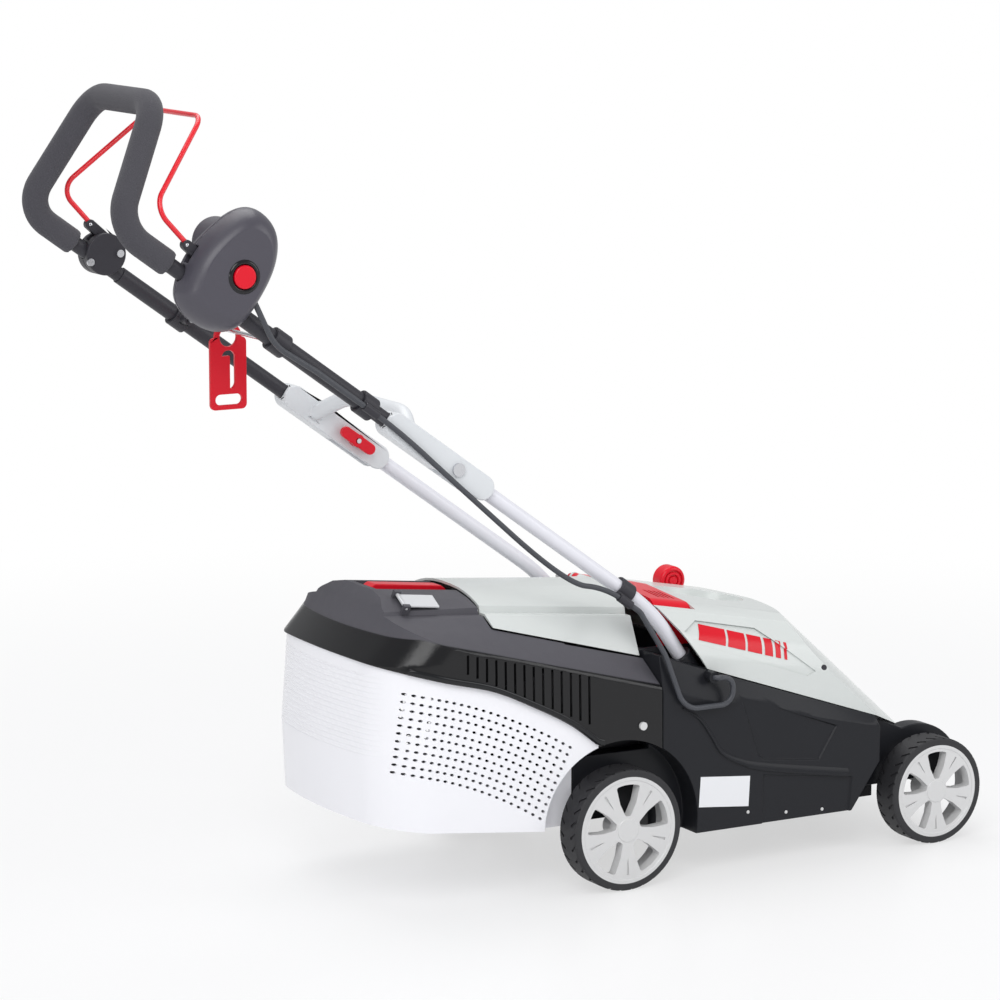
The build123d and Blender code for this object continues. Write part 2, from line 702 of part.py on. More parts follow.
with BuildPart() as blade_carrier:
    upright(3 * SHAFT_R, BLADE_HIGH, CARRIER_TOP)
    upright(FAN_R, BLADE_HIGH + BLADE_THICK, BLADE_HIGH + 2 * BLADE_THICK)
    vane_z = (BLADE_HIGH + 2 * BLADE_THICK + CARRIER_TOP) / 2
    with Locations((BLADE_X, 0, vane_z)):
        with PolarLocations((2 * SHAFT_R + FAN_R - VANE_SHORT) / 2, VANES):
            Box(FAN_R - VANE_SHORT - 2 * SHAFT_R, BLADE_THICK, CARRIER_TOP - BLADE_HIGH - 2 * BLADE_THICK)
    upright(SHAFT_R + SLIP, BLADE_HIGH, CARRIER_TOP, mode=Mode.SUBTRACT)
save(blade_carrier.part, "blade_carrier")

with BuildPart() as blade:
    with BuildSketch(Plane.XY.offset(BLADE_LOW)):
        with Locations((BLADE_X, 0)):
            Circle(BLADE_R)
            Rectangle(2 * BLADE_R, BLADE_WIDTH, mode=Mode.INTERSECT)
            Circle(SCREW_R + SLIP, mode=Mode.SUBTRACT)
    extrude(amount=BLADE_THICK)
    for end in (-1, 1):
        tip = (BLADE_X + end * (BLADE_R - 1.4 * BLADE_WIDTH), end * BLADE_WIDTH / 2)
        with Locations(Location((*tip, BLADE_HIGH), (end * 30, 0, 0))):
            Box(1.6 * BLADE_WIDTH, BLADE_WIDTH / 3, BLADE_THICK, mode=Mode.SUBTRACT)
save(blade.part, "blade")

with BuildPart() as blade_bolt:
    with BuildSketch(Plane.XY.offset(BLADE_LOW)):
        with Locations((BLADE_X, 0)):
            RegularPolygon(2 * SCREW_HEAD_R, 6)
    extrude(amount=-BOLT_HEAD)
    upright(SCREW_R, BLADE_LOW, DECK_CEILING - BLADE_THICK)
save(blade_bolt.part, "blade_bolt")


# Motor cover
COVER_REAR_X = rear(COVER_REAR_DX)
NOSE_TIP_X = rear(NOSE_TIP_DX)
VENT_X = HINGE_X + BARREL_R + SWING_GAP + 1.0
VENT_FRONT_X = VENT_X + VENT_LENGTH
COVER_BASE = 150.0
COVER_ROUND = 9.0
FRONT_RISE = 0.9
FRONT_BOW = 59.0
HAND_X = (VENT_FRONT_X + NOSE_TIP_X) / 2 - 78.0
KNOB_BACK = 40.0
KNOB_AHEAD = 25.0


def cover_z(x):
    """Give the height of the motor cover's sloping top."""
    return COVER_TOP - COVER_SLOPE * (x - COVER_REAR_X)


def cover_body(inset):
    """Make the motor cover's outer form, or the same form set in by a wall."""
    half = COVER_HALF - inset
    start_x = VENT_X - 60.0
    rise = cover_z(start_x) - COVER_TOP
    ridge_z = COVER_TOP - RIDGE_DROP - inset + rise
    outline = [
        (half, COVER_BASE - 60.0),
        (half, ridge_z - 52.0),
        (half - 8.0, ridge_z - 26.0),
        (RIDGE_HALF - inset, ridge_z),
        (RIDGE_HALF - 30.0, ridge_z + RIDGE_DROP - 3.0),
        (0.0, ridge_z + RIDGE_DROP),
    ]
    other_half = [(-y, z) for y, z in reversed(outline[:-1])]
    slope = (1, 0, -COVER_SLOPE)
    lean = inset * math.hypot(1, FRONT_RISE)
    with BuildPart() as body:
        with BuildSketch(Plane.YZ.offset(start_x)) as section:
            with BuildLine():
                Polyline(*outline, *other_half, close=True)
            make_face()
            levels = section.vertices().group_by(Axis.Y)
            fillet(levels[1] + levels[2], 4 * COVER_ROUND - inset)
            fillet(section.vertices().group_by(Axis.Y)[-3], COVER_ROUND - inset)
        extrude(section.sketch, amount=1.3 * (NOSE_TIP_X - start_x), dir=slope)
        with BuildSketch(Plane.XY.offset(COVER_BASE - 60.0)) as plan:
            shift = 60.0 / FRONT_RISE - lean
            corner_x = NOSE_TIP_X - FRONT_BOW + shift
            with BuildLine():
                Line((start_x - 200.0, -COVER_HALF), (corner_x, -COVER_HALF))
                ThreePointArc(
                    (corner_x, -COVER_HALF),
                    (NOSE_TIP_X + shift, 0),
                    (corner_x, COVER_HALF),
                )
                Line((corner_x, COVER_HALF), (start_x - 200.0, COVER_HALF))
                Line((start_x - 200.0, COVER_HALF), (start_x - 200.0, -COVER_HALF))
            make_face()
        lift = (COVER_TOP - COVER_BASE + 120.0) * math.hypot(1, FRONT_RISE) / FRONT_RISE
        extrude(plan.sketch, amount=lift, dir=(-1, 0, FRONT_RISE), mode=Mode.INTERSECT)
    return body.part


def hand_well(wall):
    """Make the hollow that the hand grips when the mower is lifted, grown by a wall."""
    with BuildPart() as well:
        for z, trim in ((cover_z(HAND_X) + HAND_DEPTH, 0.0), (cover_z(HAND_X) - HAND_DEPTH - wall, 1.0)):
            with BuildSketch(Plane.XY.offset(z)):
                with Locations((HAND_X, 0)):
                    long_r = HAND_LENGTH / 2 + wall + (1 - 2 * trim) * HAND_DEPTH / 2
                    wide_r = HAND_WIDTH / 2 + wall + (1 - 2 * trim) * HAND_DEPTH / 3
                    Ellipse(long_r, wide_r)
        loft()
    return well.part


def knob_well(wall):
    """Make the arc-shaped hollow that the height knob sweeps through, grown by a wall."""
    sweep_r = KNOB_Z - LEVER_PIVOT_Z
    reach = KNOB_R + SWING_GAP + wall
    far = 3 * sweep_r
    spread = [math.radians(90 + KNOB_BACK), math.radians(90 - KNOB_AHEAD)]
    wedge = [(0, 0)] + [(far * math.cos(turn), far * math.sin(turn)) for turn in spread]
    with BuildPart() as well:
        with BuildSketch(Plane.XZ.offset(-(COVER_HALF + SHOULDER_IN))):
            with Locations((LEVER_X, LEVER_PIVOT_Z)):
                Circle(sweep_r + reach)
                Circle(sweep_r - reach, mode=Mode.SUBTRACT)
                Polygon(*wedge, align=None, mode=Mode.INTERSECT)
        extrude(amount=COVER_HALF + SHOULDER_IN - knob_from + SWING_GAP + wall)
    return well.part


cover_outer = cover_body(0.0)
cover_inner = cover_body(COVER_WALL) - hand_well(COVER_WALL) - knob_well(COVER_WALL)
cover_panel_floor = cover_body(PANEL_DEPTH)
with BuildPart() as panel_cut:
    panel_outline = [
        (COVER_REAR_X - 20.0, 303.0),
        (COVER_REAR_X + 4.0, 312.0),
        (COVER_REAR_X + 90.0, 294.0),
        (COVER_REAR_X + 166.0, 236.0),
        (COVER_REAR_X + 154.0, 231.0),
        (COVER_REAR_X - 2.0, 286.0),
    ]
    side_prism(panel_outline, DECK_HALF)
    add(cover_panel_floor, mode=Mode.SUBTRACT)

with BuildPart() as motor_cover:
    add(cover_outer)
    add(panel_cut.part, mode=Mode.SUBTRACT)
    add(cover_inner, mode=Mode.SUBTRACT)
    add(hand_well(0.0), mode=Mode.SUBTRACT)
    add(knob_well(0.0), mode=Mode.SUBTRACT)
    # Way for the lever through the knob's hollow
    lever_gap = (LEVER_Y - SWING_GAP, LEVER_Y + LINK_THICK + SWING_GAP)
    lever_run = (LEVER_X - 1.9 * LEVER_WIDTH * 3, LEVER_X + 1.9 * LEVER_WIDTH * 2)
    block(lever_run, lever_gap, (DECK_BOTTOM, KNOB_Z), mode=Mode.SUBTRACT)
    # Underside follows the deck's rim and then the front cover
    below = [
        (SEAM_X - 200.0, DECK_BOTTOM - 100.0),
        (DECK_FRONT_X + 100.0, DECK_BOTTOM - 100.0),
        (DECK_FRONT_X + 100.0, nose_z(DECK_FRONT_X + 100.0) + FRONT_COVER_THICK),
        (SIDE_FRONT_X, nose_z(SIDE_FRONT_X) + FRONT_COVER_THICK),
        (SIDE_FRONT_X, rim_z(SIDE_FRONT_X)),
        (SEAM_X - 200.0, rim_z(SEAM_X - 200.0)),
    ]
    side_prism(below, DECK_HALF + SHOULDER_IN, mode=Mode.SUBTRACT)
    # Rear edge: square behind the vent cover, slanting along the handle tubes outside it
    behind = (SEAM_X - 200.0, VENT_FRONT_X + FIT)
    vent_gap = VENT_HALF + FIT
    block(behind, (-vent_gap, vent_gap), (DECK_BOTTOM, 2 * COVER_TOP), mode=Mode.SUBTRACT)
    tube_gap = (TUBE_R + SWING_GAP) / math.sin(FOOT_LEAN)
    high = foot(-FOOT_RUN)
    low = foot(2 * FOOT_RUN)
    slant = [
        (high[0] + tube_gap, high[1]),
        (low[0] + tube_gap, low[1]),
        (SEAM_X - 200.0, low[1]),
        (SEAM_X - 200.0, high[1]),
    ]
    for side in (-1, 1):
        edge = sorted((side * VENT_HALF, side * (DECK_HALF + SHOULDER_IN)))
        side_slab(slant, edge[1], edge[0], mode=Mode.SUBTRACT)
save(motor_cover.part, "motor_cover")

# Red vent cover with the flap's hinge lugs
VENT_PROUD = 4.0
VENT_FOOT = rim_z(SEAM_X)


def vent_body(inset):
    """Make the vent cover's bridge-shaped form, or the same form set in by a wall."""
    half = VENT_HALF - inset
    z = cover_z(VENT_X) + VENT_PROUD - inset
    outline = [(half, VENT_FOOT - 60.0), (half, z - 26.0), (half - 16.0, z - 7.0), (0.0, z)]
    other_half = [(-y, level) for y, level in reversed(outline[:-1])]
    with BuildPart() as body:
        with BuildSketch(Plane.YZ.offset(VENT_X - inset)) as section:
            with BuildLine():
                Polyline(*outline, *other_half, close=True)
            make_face()
            levels = section.vertices().group_by(Axis.Y)
            fillet(levels[1] + levels[2], 2 * COVER_ROUND - inset)
        run = math.hypot(1, COVER_SLOPE) * (VENT_LENGTH + 2 * inset)
        extrude(section.sketch, amount=run, dir=(1, 0, -COVER_SLOPE))
    return body.part


with BuildPart() as vent_cover:
    add(vent_body(0.0))
    add(vent_body(COVER_WALL), mode=Mode.SUBTRACT)
    under_vent = (DECK_BOTTOM, VENT_FOOT)
    block((SEAM_X - 100.0, VENT_FRONT_X + 100.0), (-DECK_HALF, DECK_HALF), under_vent, mode=Mode.SUBTRACT)
    for louvre in range(LOUVRES):
        louvre_x = VENT_X + VENT_LENGTH * (0.42 + 0.13 * louvre)
        for side in (-1, 1):
            with Locations((louvre_x, side * 0.55 * VENT_HALF, COVER_TOP)):
                Box(VENT_LENGTH / 16, VENT_HALF / 3, 60.0, mode=Mode.SUBTRACT)
    for side in (-1, 1):
        lug = (side * LUG_Y - LUG_WIDTH / 2, side * LUG_Y + LUG_WIDTH / 2)
        cross_round(HINGE_X, HINGE_Z, BARREL_R - 0.5, *lug)
        block((HINGE_X, VENT_X + COVER_WALL), lug, (HINGE_Z - BARREL_R, HINGE_Z))
        cross_round(HINGE_X, HINGE_Z, FLAP_PIN_R + SLIP, *lug, mode=Mode.SUBTRACT)
save(vent_cover.part, "vent_cover")

with BuildPart() as front_cover:
    plate_x = (SIDE_FRONT_X + FIT, DECK_FRONT_X)
    plate = [
        (plate_x[0], nose_z(plate_x[0])),
        (plate_x[1], nose_z(plate_x[1])),
        (plate_x[1], nose_z(plate_x[1]) + FRONT_COVER_THICK),
        (plate_x[0], nose_z(plate_x[0]) + FRONT_COVER_THICK),
    ]
    with BuildSketch(Plane.XY) as plate_plan:
        with Locations(((plate_x[0] + plate_x[1]) / 2, 0)):
            Rectangle(plate_x[1] - plate_x[0], 2 * FRONT_COVER_HALF)
        fillet(plate_plan.vertices().group_by(Axis.X)[-1], 6 * FRONT_COVER_THICK)
    extrude(amount=COVER_TOP)
    side_prism(plate, DECK_HALF, mode=Mode.INTERSECT)
save(front_cover.part, "front_cover")

# Rear flap on its hinge pin
FLAP_REAR_X = rear(FLAP_REAR_DX)
FLAP_SET_BACK = 1.0
FLAP_SIDE_X = SEAM_X - SWING_GAP - FLAP_SET_BACK
FLAP_EDGE = (328.0, 273.0)
FLAP_STEP = (341.0, 319.0)
STEP_RISE = 8.0
STEP_HALF = (99.0, 87.0, 85.0)
DOME_AT = (74.0, 62.0, 48.0, 32.0, 12.0)
DOME_POWER = 2.5
NECK_HALF = 70.0
NECK_DROP = (11.0, 3.5)
NECK_AT = (1.0, 0.86, 0.66, 0.4, 0.14, -0.14, -0.4, -0.66, -0.86, -1.0)


def flap_share(x):
    """Give how far back an x lies along the flap, from nought at its front to one."""
    return (FLAP_SIDE_X - x) / (FLAP_SIDE_X - FLAP_REAR_X)


def flap_edge(x):
    """Give the height of the flap's lower side edge."""
    return FLAP_EDGE[1] + flap_share(x) * (FLAP_EDGE[0] - FLAP_EDGE[1])


def flap_top(x):
    """Give the height of the flap's middle line."""
    return FLAP_FRONT_Z + flap_share(x) * (FLAP_REAR_Z - FLAP_FRONT_Z)


def flap_step(x):
    """Give the height of the ledge beside the flap's dome."""
    return FLAP_STEP[1] + flap_share(x) * (FLAP_STEP[0] - FLAP_STEP[1])


def flap_half(x, wall):
    """Give half of the flap's section at an x, from its side edge to the middle, set in by a wall."""
    drop = flap_top(x) - flap_step(x) - STEP_RISE
    dome = [(y, flap_top(x) - wall - drop * (y / STEP_HALF[2]) ** DOME_POWER) for y in DOME_AT]
    side = [
        (FLAP_HALF - 1.1 * wall, flap_edge(x)),
        (STEP_HALF[0] - 0.6 * wall, flap_step(x) - wall),
        (STEP_HALF[1] - wall, flap_step(x) - wall),
        (STEP_HALF[2] - wall, flap_step(x) + STEP_RISE - wall),
    ]
    return side + dome


with BuildPart() as rear_flap:
    for x in (FLAP_REAR_X, FLAP_SIDE_X):
        outer = flap_half(x, 0.0)
        inner = flap_half(x, FLAP_THICK)
        across = outer + [(-y, z) for y, z in reversed(outer)]
        under = inner + [(-y, z) for y, z in reversed(inner)]
        with BuildSketch(Plane.YZ.offset(x)):
            with BuildLine():
                Polyline(*across, *reversed(under), close=True)
            make_face()
    loft(ruled=True)
    for x, drop, top in (
        (FLAP_SIDE_X - FLAP_THICK, NECK_DROP[0], flap_top(FLAP_SIDE_X)),
        (HINGE_X, NECK_DROP[1], HINGE_Z + BARREL_R),
    ):
        across = [(NECK_HALF * share, top - drop * abs(share) ** DOME_POWER) for share in NECK_AT]
        under = [(y, z - FLAP_THICK) for y, z in reversed(across)]
        with BuildSketch(Plane.YZ.offset(x)):
            with BuildLine():
                Polyline(*across, *under, close=True)
            make_face()
    loft(ruled=True)
    cross_round(HINGE_X, HINGE_Z, BARREL_R, -NECK_HALF, NECK_HALF)
    for side in (-1, 1):
        lug_gap = (side * LUG_Y - LUG_WIDTH / 2 - FIT, side * LUG_Y + LUG_WIDTH / 2 + FIT)
        lug_room = (HINGE_X - BARREL_R - SWING_GAP, HINGE_X + BARREL_R + SWING_GAP)
        lug_tall = (HINGE_Z - 2 * BARREL_R, HINGE_Z + 2 * BARREL_R)
        block(lug_room, lug_gap, lug_tall, mode=Mode.SUBTRACT)
    cross_round(HINGE_X, HINGE_Z, FLAP_PIN_R + SLIP, -FLAP_HALF, FLAP_HALF, mode=Mode.SUBTRACT)
save(rear_flap.part, "rear_flap")

with BuildPart() as flap_pin:
    cross_round(HINGE_X, HINGE_Z, FLAP_PIN_R, -NECK_HALF, NECK_HALF)
save(flap_pin.part, "flap_pin")


# Grass box
BOX_REAR_X = rear(BOX_REAR_DX)
LID_FRONT_X = SEAM_X - 1.0
BOX_FRONT_X = CHUTE_REAR_X - 3.0
LID_WALL = LID_OVER + 0.8 * BOX_WALL
LID_ROUND = 8.0
BOX_ARCH_R = 100.0
ARCH_LIFT = 6.0
NOTCH_HALF = 140.0
MOUTH_HALF = CHUTE_HALF - 4.0
MOUTH = (BOX_FLOOR_Z + 12.0, CHUTE_TOP - 9.0)
WELL_HALF = FLAP_HALF + 3.0
HIGH = 500.0
BEHIND_X = rear(-420.0)
RIM_END_X = rear(-30.0)
RIM_LINE = [
    (BEHIND_X, 318.0),
    (rear(-307.0), 297.0),
    (rear(-232.0), 277.0),
    (rear(-176.0), 262.0),
    (rear(-123.0), 238.0),
    (rear(-70.0), 210.0),
    (RIM_END_X, 180.0),
]
FLOOR_LINE = [(RIM_END_X, 79.0), (rear(-94.0), 79.0), (rear(-258.0), 97.0), (BEHIND_X, 122.0)]
CROWN_X = rear(-150.0)
LID_REAR_X = rear(-345.0)
LID_LOW = 120.0
LID_BACK = ((80.0, 0.0), (299.0, 0.0), (331.0, 29.0), (358.0, 41.0), (376.5, 61.0), (HIGH, 75.0))
TUB_FORM = ((64.0, 12.0, -13.0), (190.0, 4.0, -9.0), (300.0, 3.5, 0.0), (HIGH, 3.5, 0.0))


def crown(x):
    """Give the height of the lid's middle line."""
    return CROWN_Z + CROWN_SLOPE * (CROWN_X - x)


def box_plan(inset, z, lead=0.0):
    """Draw the grass box's plan outline at a height, set in by a wall, with its back drawn forward."""
    side = DECK_HALF - inset
    turn = side - BOX_TAPER
    back_x = BOX_REAR_X + inset + lead
    turn_x = back_x + BOX_BOW
    with BuildSketch(Plane.XY.offset(z)) as plan:
        with BuildLine():
            ThreePointArc((turn_x, turn), (back_x, 0), (turn_x, -turn))
            Polyline((turn_x, -turn), (LID_FRONT_X, -side), (LID_FRONT_X, side), (turn_x, turn))
        make_face()
        fillet(plan.vertices().group_by(Axis.X)[0], BOX_CORNER_R - inset)
    return plan.sketch


def under_rim(floor, lift):
    """Draw the side view between a floor line and the rim line raised so far."""
    with BuildSketch(Plane.XZ) as outline:
        with BuildLine():
            Spline(*[(x, z + lift) for x, z in RIM_LINE])
            Polyline((RIM_LINE[-1][0], RIM_LINE[-1][1] + lift), *floor, (BEHIND_X, RIM_LINE[0][1] + lift))
        make_face()
    return outline.sketch


def box_body(inset, top_over):
    """Make the grass box's white tub as a full form, set in by a wall."""
    floor = [(x, z + inset) for x, z in FLOOR_LINE]
    with BuildPart() as body:
        loft([box_plan(set_in + inset, z, lead) for z, set_in, lead in TUB_FORM], ruled=True)
        extrude(under_rim(floor, top_over), amount=DECK_HALF, both=True, mode=Mode.INTERSECT)
        for side in (-1, 1):
            edge = sorted((side * (NOTCH_HALF - inset), side * (DECK_HALF + SHOULDER_IN)))
            cross_round(REAR_AXLE_X, REAR_WHEEL_R + ARCH_LIFT, BOX_ARCH_R + inset, *edge, mode=Mode.SUBTRACT)
        notch_half = NOTCH_HALF + inset
        block((BOX_FRONT_X - inset, HIGH), (-notch_half, notch_half), (0.0, HIGH), mode=Mode.SUBTRACT)
    return body.part


with BuildPart() as box_lower:
    add(box_body(0.0, 0.0))
    add(box_body(BOX_WALL, 20 * BOX_WALL), mode=Mode.SUBTRACT)
    block((BOX_FRONT_X - 4 * BOX_WALL, BOX_FRONT_X + BOX_WALL), (-MOUTH_HALF, MOUTH_HALF), MOUTH, mode=Mode.SUBTRACT)
save(box_lower.part, "box_lower")

# Half sections of the lid from its ridge to its middle, at its rear end, at its crown and in front
LID_REAR = [(166.0, 350.0), (99.0, 352.0), (88.0, 355.0), (86.0, 357.0), (62.0, 374.0), (35.0, 380.0)]
LID_CROWN = [(166.0, 299.0), (99.0, 338.5), (88.0, 339.0), (86.0, 347.0), (62.0, 354.5), (35.0, 359.0)]
LID_AHEAD = [(170.0, 242.0), (121.0, 272.0), (100.0, 290.0), (86.0, 310.0), (62.0, 325.0), (35.0, 332.0)]


def lid_section(x, half, inset):
    """Draw the lid's cross-section at an x as a sketch, set in by a wall."""
    line = [(DECK_HALF - inset, LID_LOW)]
    line += [(y - inset, z - inset) for y, z in half]
    near = [(-y, z) for y, z in reversed(line)]
    with BuildSketch(Plane.YZ.offset(x)) as section:
        with BuildLine():
            Polyline(*line, *near, close=True)
        make_face()
        fillet(section.vertices().group_by(Axis.Y)[1], LID_ROUND)
    return section.sketch


def lid_body(inset):
    """Make the lid's full outer form, or the same form set in by a wall."""
    with BuildPart() as body:
        rear_end = lid_section(LID_REAR_X, LID_REAR, inset)
        middle = lid_section(CROWN_X, LID_CROWN, inset)
        ahead = lid_section(LID_FRONT_X, LID_AHEAD, inset)
        loft([rear_end, middle, ahead], ruled=True)
        loft([box_plan(inset, z - inset, lead) for z, lead in LID_BACK], ruled=True, mode=Mode.INTERSECT)
    return body.part


def flap_room(wall):
    """Make the hollow in the lid that the closed flap lies in, grown by a wall."""
    back_x = FLAP_REAR_X - SWING_GAP - wall
    drop = SWING_GAP + wall
    outline = [
        (back_x, 500.0),
        (back_x, flap_edge(back_x) - drop),
        (LID_FRONT_X + 10.0, flap_edge(LID_FRONT_X + 10.0) - drop),
        (LID_FRONT_X + 10.0, 500.0),
    ]
    with BuildPart() as room:
        side_prism(outline, WELL_HALF + wall)
        block((BOX_FRONT_X - wall, LID_FRONT_X + 10.0), (-WELL_HALF - wall, WELL_HALF + wall), (100.0, 500.0))
    return room.part


GRIP_X = rear(-206.0)
GRIP_FLOOR = crown(GRIP_X) - GRIP_WELL_DEPTH
HOOK_REACH = 22.0
HANG_Y = 70.0
HANG_WIDTH = 20.0


def grip_well(wall):
    """Make the hollow in the lid under the carrying grip, grown by a wall."""
    long = GRIP_LENGTH / 2 + 2.0 + wall
    wide = 1.4 * GRIP_WIDTH + wall
    with BuildPart() as well:
        block((GRIP_X - long, GRIP_X + long), (-wide, wide), (GRIP_FLOOR - wall, 500.0))
    return well.part


INDICATOR_X = rear(-229.0)
INDICATOR_Y = -75.0
INDICATOR_Z = crown(INDICATOR_X) - 14.0
INDICATOR_TILT = 0.5
INDICATOR_THICK = 3.0
INDICATOR_LIFT = 3.0
PIVOT_R = 2.2
EAR_WIDTH = 5.0
EAR_LONG = 9.0
lid_face = Plane(
    origin=(INDICATOR_X, INDICATOR_Y, INDICATOR_Z),
    x_dir=(1.0, 0.0, -CROWN_SLOPE),
    z_dir=(CROWN_SLOPE, -INDICATOR_TILT, 1.0),
)
ear_y = INDICATOR_WIDTH / 2 + FIT + EAR_WIDTH / 2
pivot_lift = INDICATOR_LIFT + PIVOT_R
pivot_turn = (90, 0, 0)

lid_hollow = lid_body(LID_WALL) - flap_room(LID_WALL) - grip_well(LID_WALL)
with BuildPart() as box_lid:
    add(lid_body(0.0))
    add(lid_hollow, mode=Mode.SUBTRACT)
    below = under_rim([(RIM_END_X, 0.0), (BEHIND_X, 0.0)], 0.0)
    extrude(below, amount=2 * DECK_HALF, both=True, mode=Mode.SUBTRACT)
    cross_round(REAR_AXLE_X, REAR_WHEEL_R, ARCH_R, -2 * DECK_HALF, 2 * DECK_HALF, mode=Mode.SUBTRACT)
    add(flap_room(0.0), mode=Mode.SUBTRACT)
    add(grip_well(0.0), mode=Mode.SUBTRACT)
    for slot in range(SLOT_COUNT):
        share = slot / (SLOT_COUNT - 1)
        slot_x = rear(-210.0 + 165.0 * share)
        slot_z = (286.0 - 78.0 * share, 309.0 - 42.0 * share)
        for side in (-1, 1):
            edge = sorted((side * (DECK_HALF - 2 * LID_WALL), side * (DECK_HALF + LID_WALL)))
            block((slot_x - SLOT_WIDTH / 2, slot_x + SLOT_WIDTH / 2), edge, slot_z, mode=Mode.SUBTRACT)
    # Hooks that hang the box on the chute's roof
    hook_tip_x = CHUTE_REAR_X + HOOK_REACH
    hook_line = [
        (BOX_FRONT_X, chute_z(BOX_FRONT_X)),
        (hook_tip_x, chute_z(hook_tip_x)),
        (hook_tip_x, chute_z(hook_tip_x) + LID_WALL),
        (BOX_FRONT_X, chute_z(hook_tip_x) + 2 * LID_WALL),
    ]
    for side in (-1, 1):
        hook_y = side * HANG_Y
        side_slab(hook_line, hook_y + HANG_WIDTH / 2, hook_y - HANG_WIDTH / 2)
    # Fill indicator's air hole and hinge ears
    with Locations(lid_face.location):
        Box(0.6 * INDICATOR_LENGTH, 0.6 * INDICATOR_WIDTH, 8 * LID_WALL, mode=Mode.SUBTRACT)
        with Locations((-INDICATOR_LENGTH / 2, -ear_y, 0), (-INDICATOR_LENGTH / 2, ear_y, 0)):
            Box(EAR_LONG, EAR_WIDTH, 2 * (pivot_lift + 2 * PIVOT_R))
        with Locations(Location((-INDICATOR_LENGTH / 2, 0, pivot_lift), pivot_turn)):
            Cylinder(PIVOT_R + SLIP, 3 * INDICATOR_WIDTH, mode=Mode.SUBTRACT)
save(box_lid.part, "box_lid")

with BuildPart() as fill_indicator:
    with Locations(lid_face.location):
        with Locations((PIVOT_R / 2, 0, pivot_lift)):
            Box(INDICATOR_LENGTH, INDICATOR_WIDTH, INDICATOR_THICK)
        with Locations(Location((-INDICATOR_LENGTH / 2, 0, pivot_lift), pivot_turn)):
            Cylinder(PIVOT_R, INDICATOR_WIDTH + 2 * EAR_WIDTH)
save(fill_indicator.part, "fill_indicator")

with BuildPart() as side_rivets:
    for side in (-1, 1):
        rivet_y = (side * (DECK_HALF - LID_WALL / 2), side * (DECK_HALF + RIVET_R / 3))
        cross_round(rear(RIVET_DX), RIVET_Z, RIVET_R, *rivet_y)
    add(box_lid.part, mode=Mode.SUBTRACT)
save(side_rivets.part, "side_rivets")

with BuildPart() as box_grip:
    grip_ends = (GRIP_X - GRIP_LENGTH / 2, GRIP_X + GRIP_LENGTH / 2)
    shoulder_x = (grip_ends[0] + GRIP_HEIGHT / 2, grip_ends[1] - GRIP_HEIGHT / 2)
    leg_x = (grip_ends[0] + GRIP_HEIGHT, grip_ends[1] - GRIP_HEIGHT)
    bow = [
        (grip_ends[0], GRIP_FLOOR),
        (grip_ends[0], crown(grip_ends[0]) - GRIP_HEIGHT / 3),
        (shoulder_x[0], crown(shoulder_x[0])),
        (shoulder_x[1], crown(shoulder_x[1])),
        (grip_ends[1], crown(grip_ends[1]) - GRIP_HEIGHT / 3),
        (grip_ends[1], GRIP_FLOOR),
        (leg_x[1], GRIP_FLOOR),
        (leg_x[1], crown(leg_x[1]) - GRIP_HEIGHT),
        (leg_x[0], crown(leg_x[0]) - GRIP_HEIGHT),
        (leg_x[0], GRIP_FLOOR),
    ]
    side_prism(bow, GRIP_WIDTH / 2)
save(box_grip.part, "box_grip")


# Handle
LOWER_TOP = 12.0
LOOP_START = 30.0
FORK_END = LOOP_START - 8.0
HANDLE_DIR = (-math.cos(RISE), 0, math.sin(RISE))


def along_round(start, end, radius, y, lift=0.0, mode=Mode.ADD):
    """Add or cut a round bar that lies along the handle."""
    x, z = along(start, lift)
    with Locations(Plane(origin=(x, y, z), z_dir=HANDLE_DIR).location):
        Cylinder(radius, end - start, align=(Align.CENTER, Align.CENTER, Align.MIN), mode=mode)


def spot(distance, y, lift=0.0):
    """Give a point beside the handle line in space."""
    x, z = along(distance, lift)
    return (x, y, z)


def lower_tube(side):
    """Make one lower handle tube from its deck socket to the folding joint."""
    y = side * HANDLE_HALF
    low = foot(FOOT_RUN)
    with BuildPart() as tube:
        route = [(low[0], y, low[1]), (BEND_X, y, BEND_Z), spot(LOWER_TOP, y)]
        swept_tube(route, [BEND_R], TUBE_R, TUBE_R - TUBE_WALL)
        cross_round(JOINT_X, JOINT_Z, BOLT_R + SLIP, y - 2 * TUBE_R, y + 2 * TUBE_R, mode=Mode.SUBTRACT)
    return tube.part


save(lower_tube(1), "lower_tube_left")
save(lower_tube(-1), "lower_tube_right")


def loop_route(start):
    """Give the handle loop's corner points from one leg over the top to the other."""
    top_x = rear(LOOP_TOP_DX)
    leg = [spot(start, HANDLE_HALF), spot(LOOP_KNEE, HANDLE_HALF), (top_x, LOOP_TOP_HALF, LOOP_TOP_Z)]
    return leg + [(x, -y, z) for x, y, z in reversed(leg)]


LOOP_BENDS = [KNEE_R, TOP_R, TOP_R, KNEE_R]
with BuildPart() as handle_loop:
    swept_tube(loop_route(LOOP_START), LOOP_BENDS, TUBE_R, TUBE_R - TUBE_WALL)
save(handle_loop.part, "handle_loop")

with BuildPart() as foam_grip:
    swept_tube(loop_route(FOAM_START), LOOP_BENDS, FOAM_R, TUBE_R)
save(foam_grip.part, "foam_grip")

sleeve_end = HOUSING_AT - HOUSING_R - SLEEVE_R
with BuildPart() as tube_sleeves:
    for side, start in ((-1, SLEEVE_START), (1, FAR_SLEEVE_START)):
        along_round(start, sleeve_end, SLEEVE_R, side * HANDLE_HALF)
        along_round(start, sleeve_end, TUBE_R, side * HANDLE_HALF, mode=Mode.SUBTRACT)
save(tube_sleeves.part, "tube_sleeves")

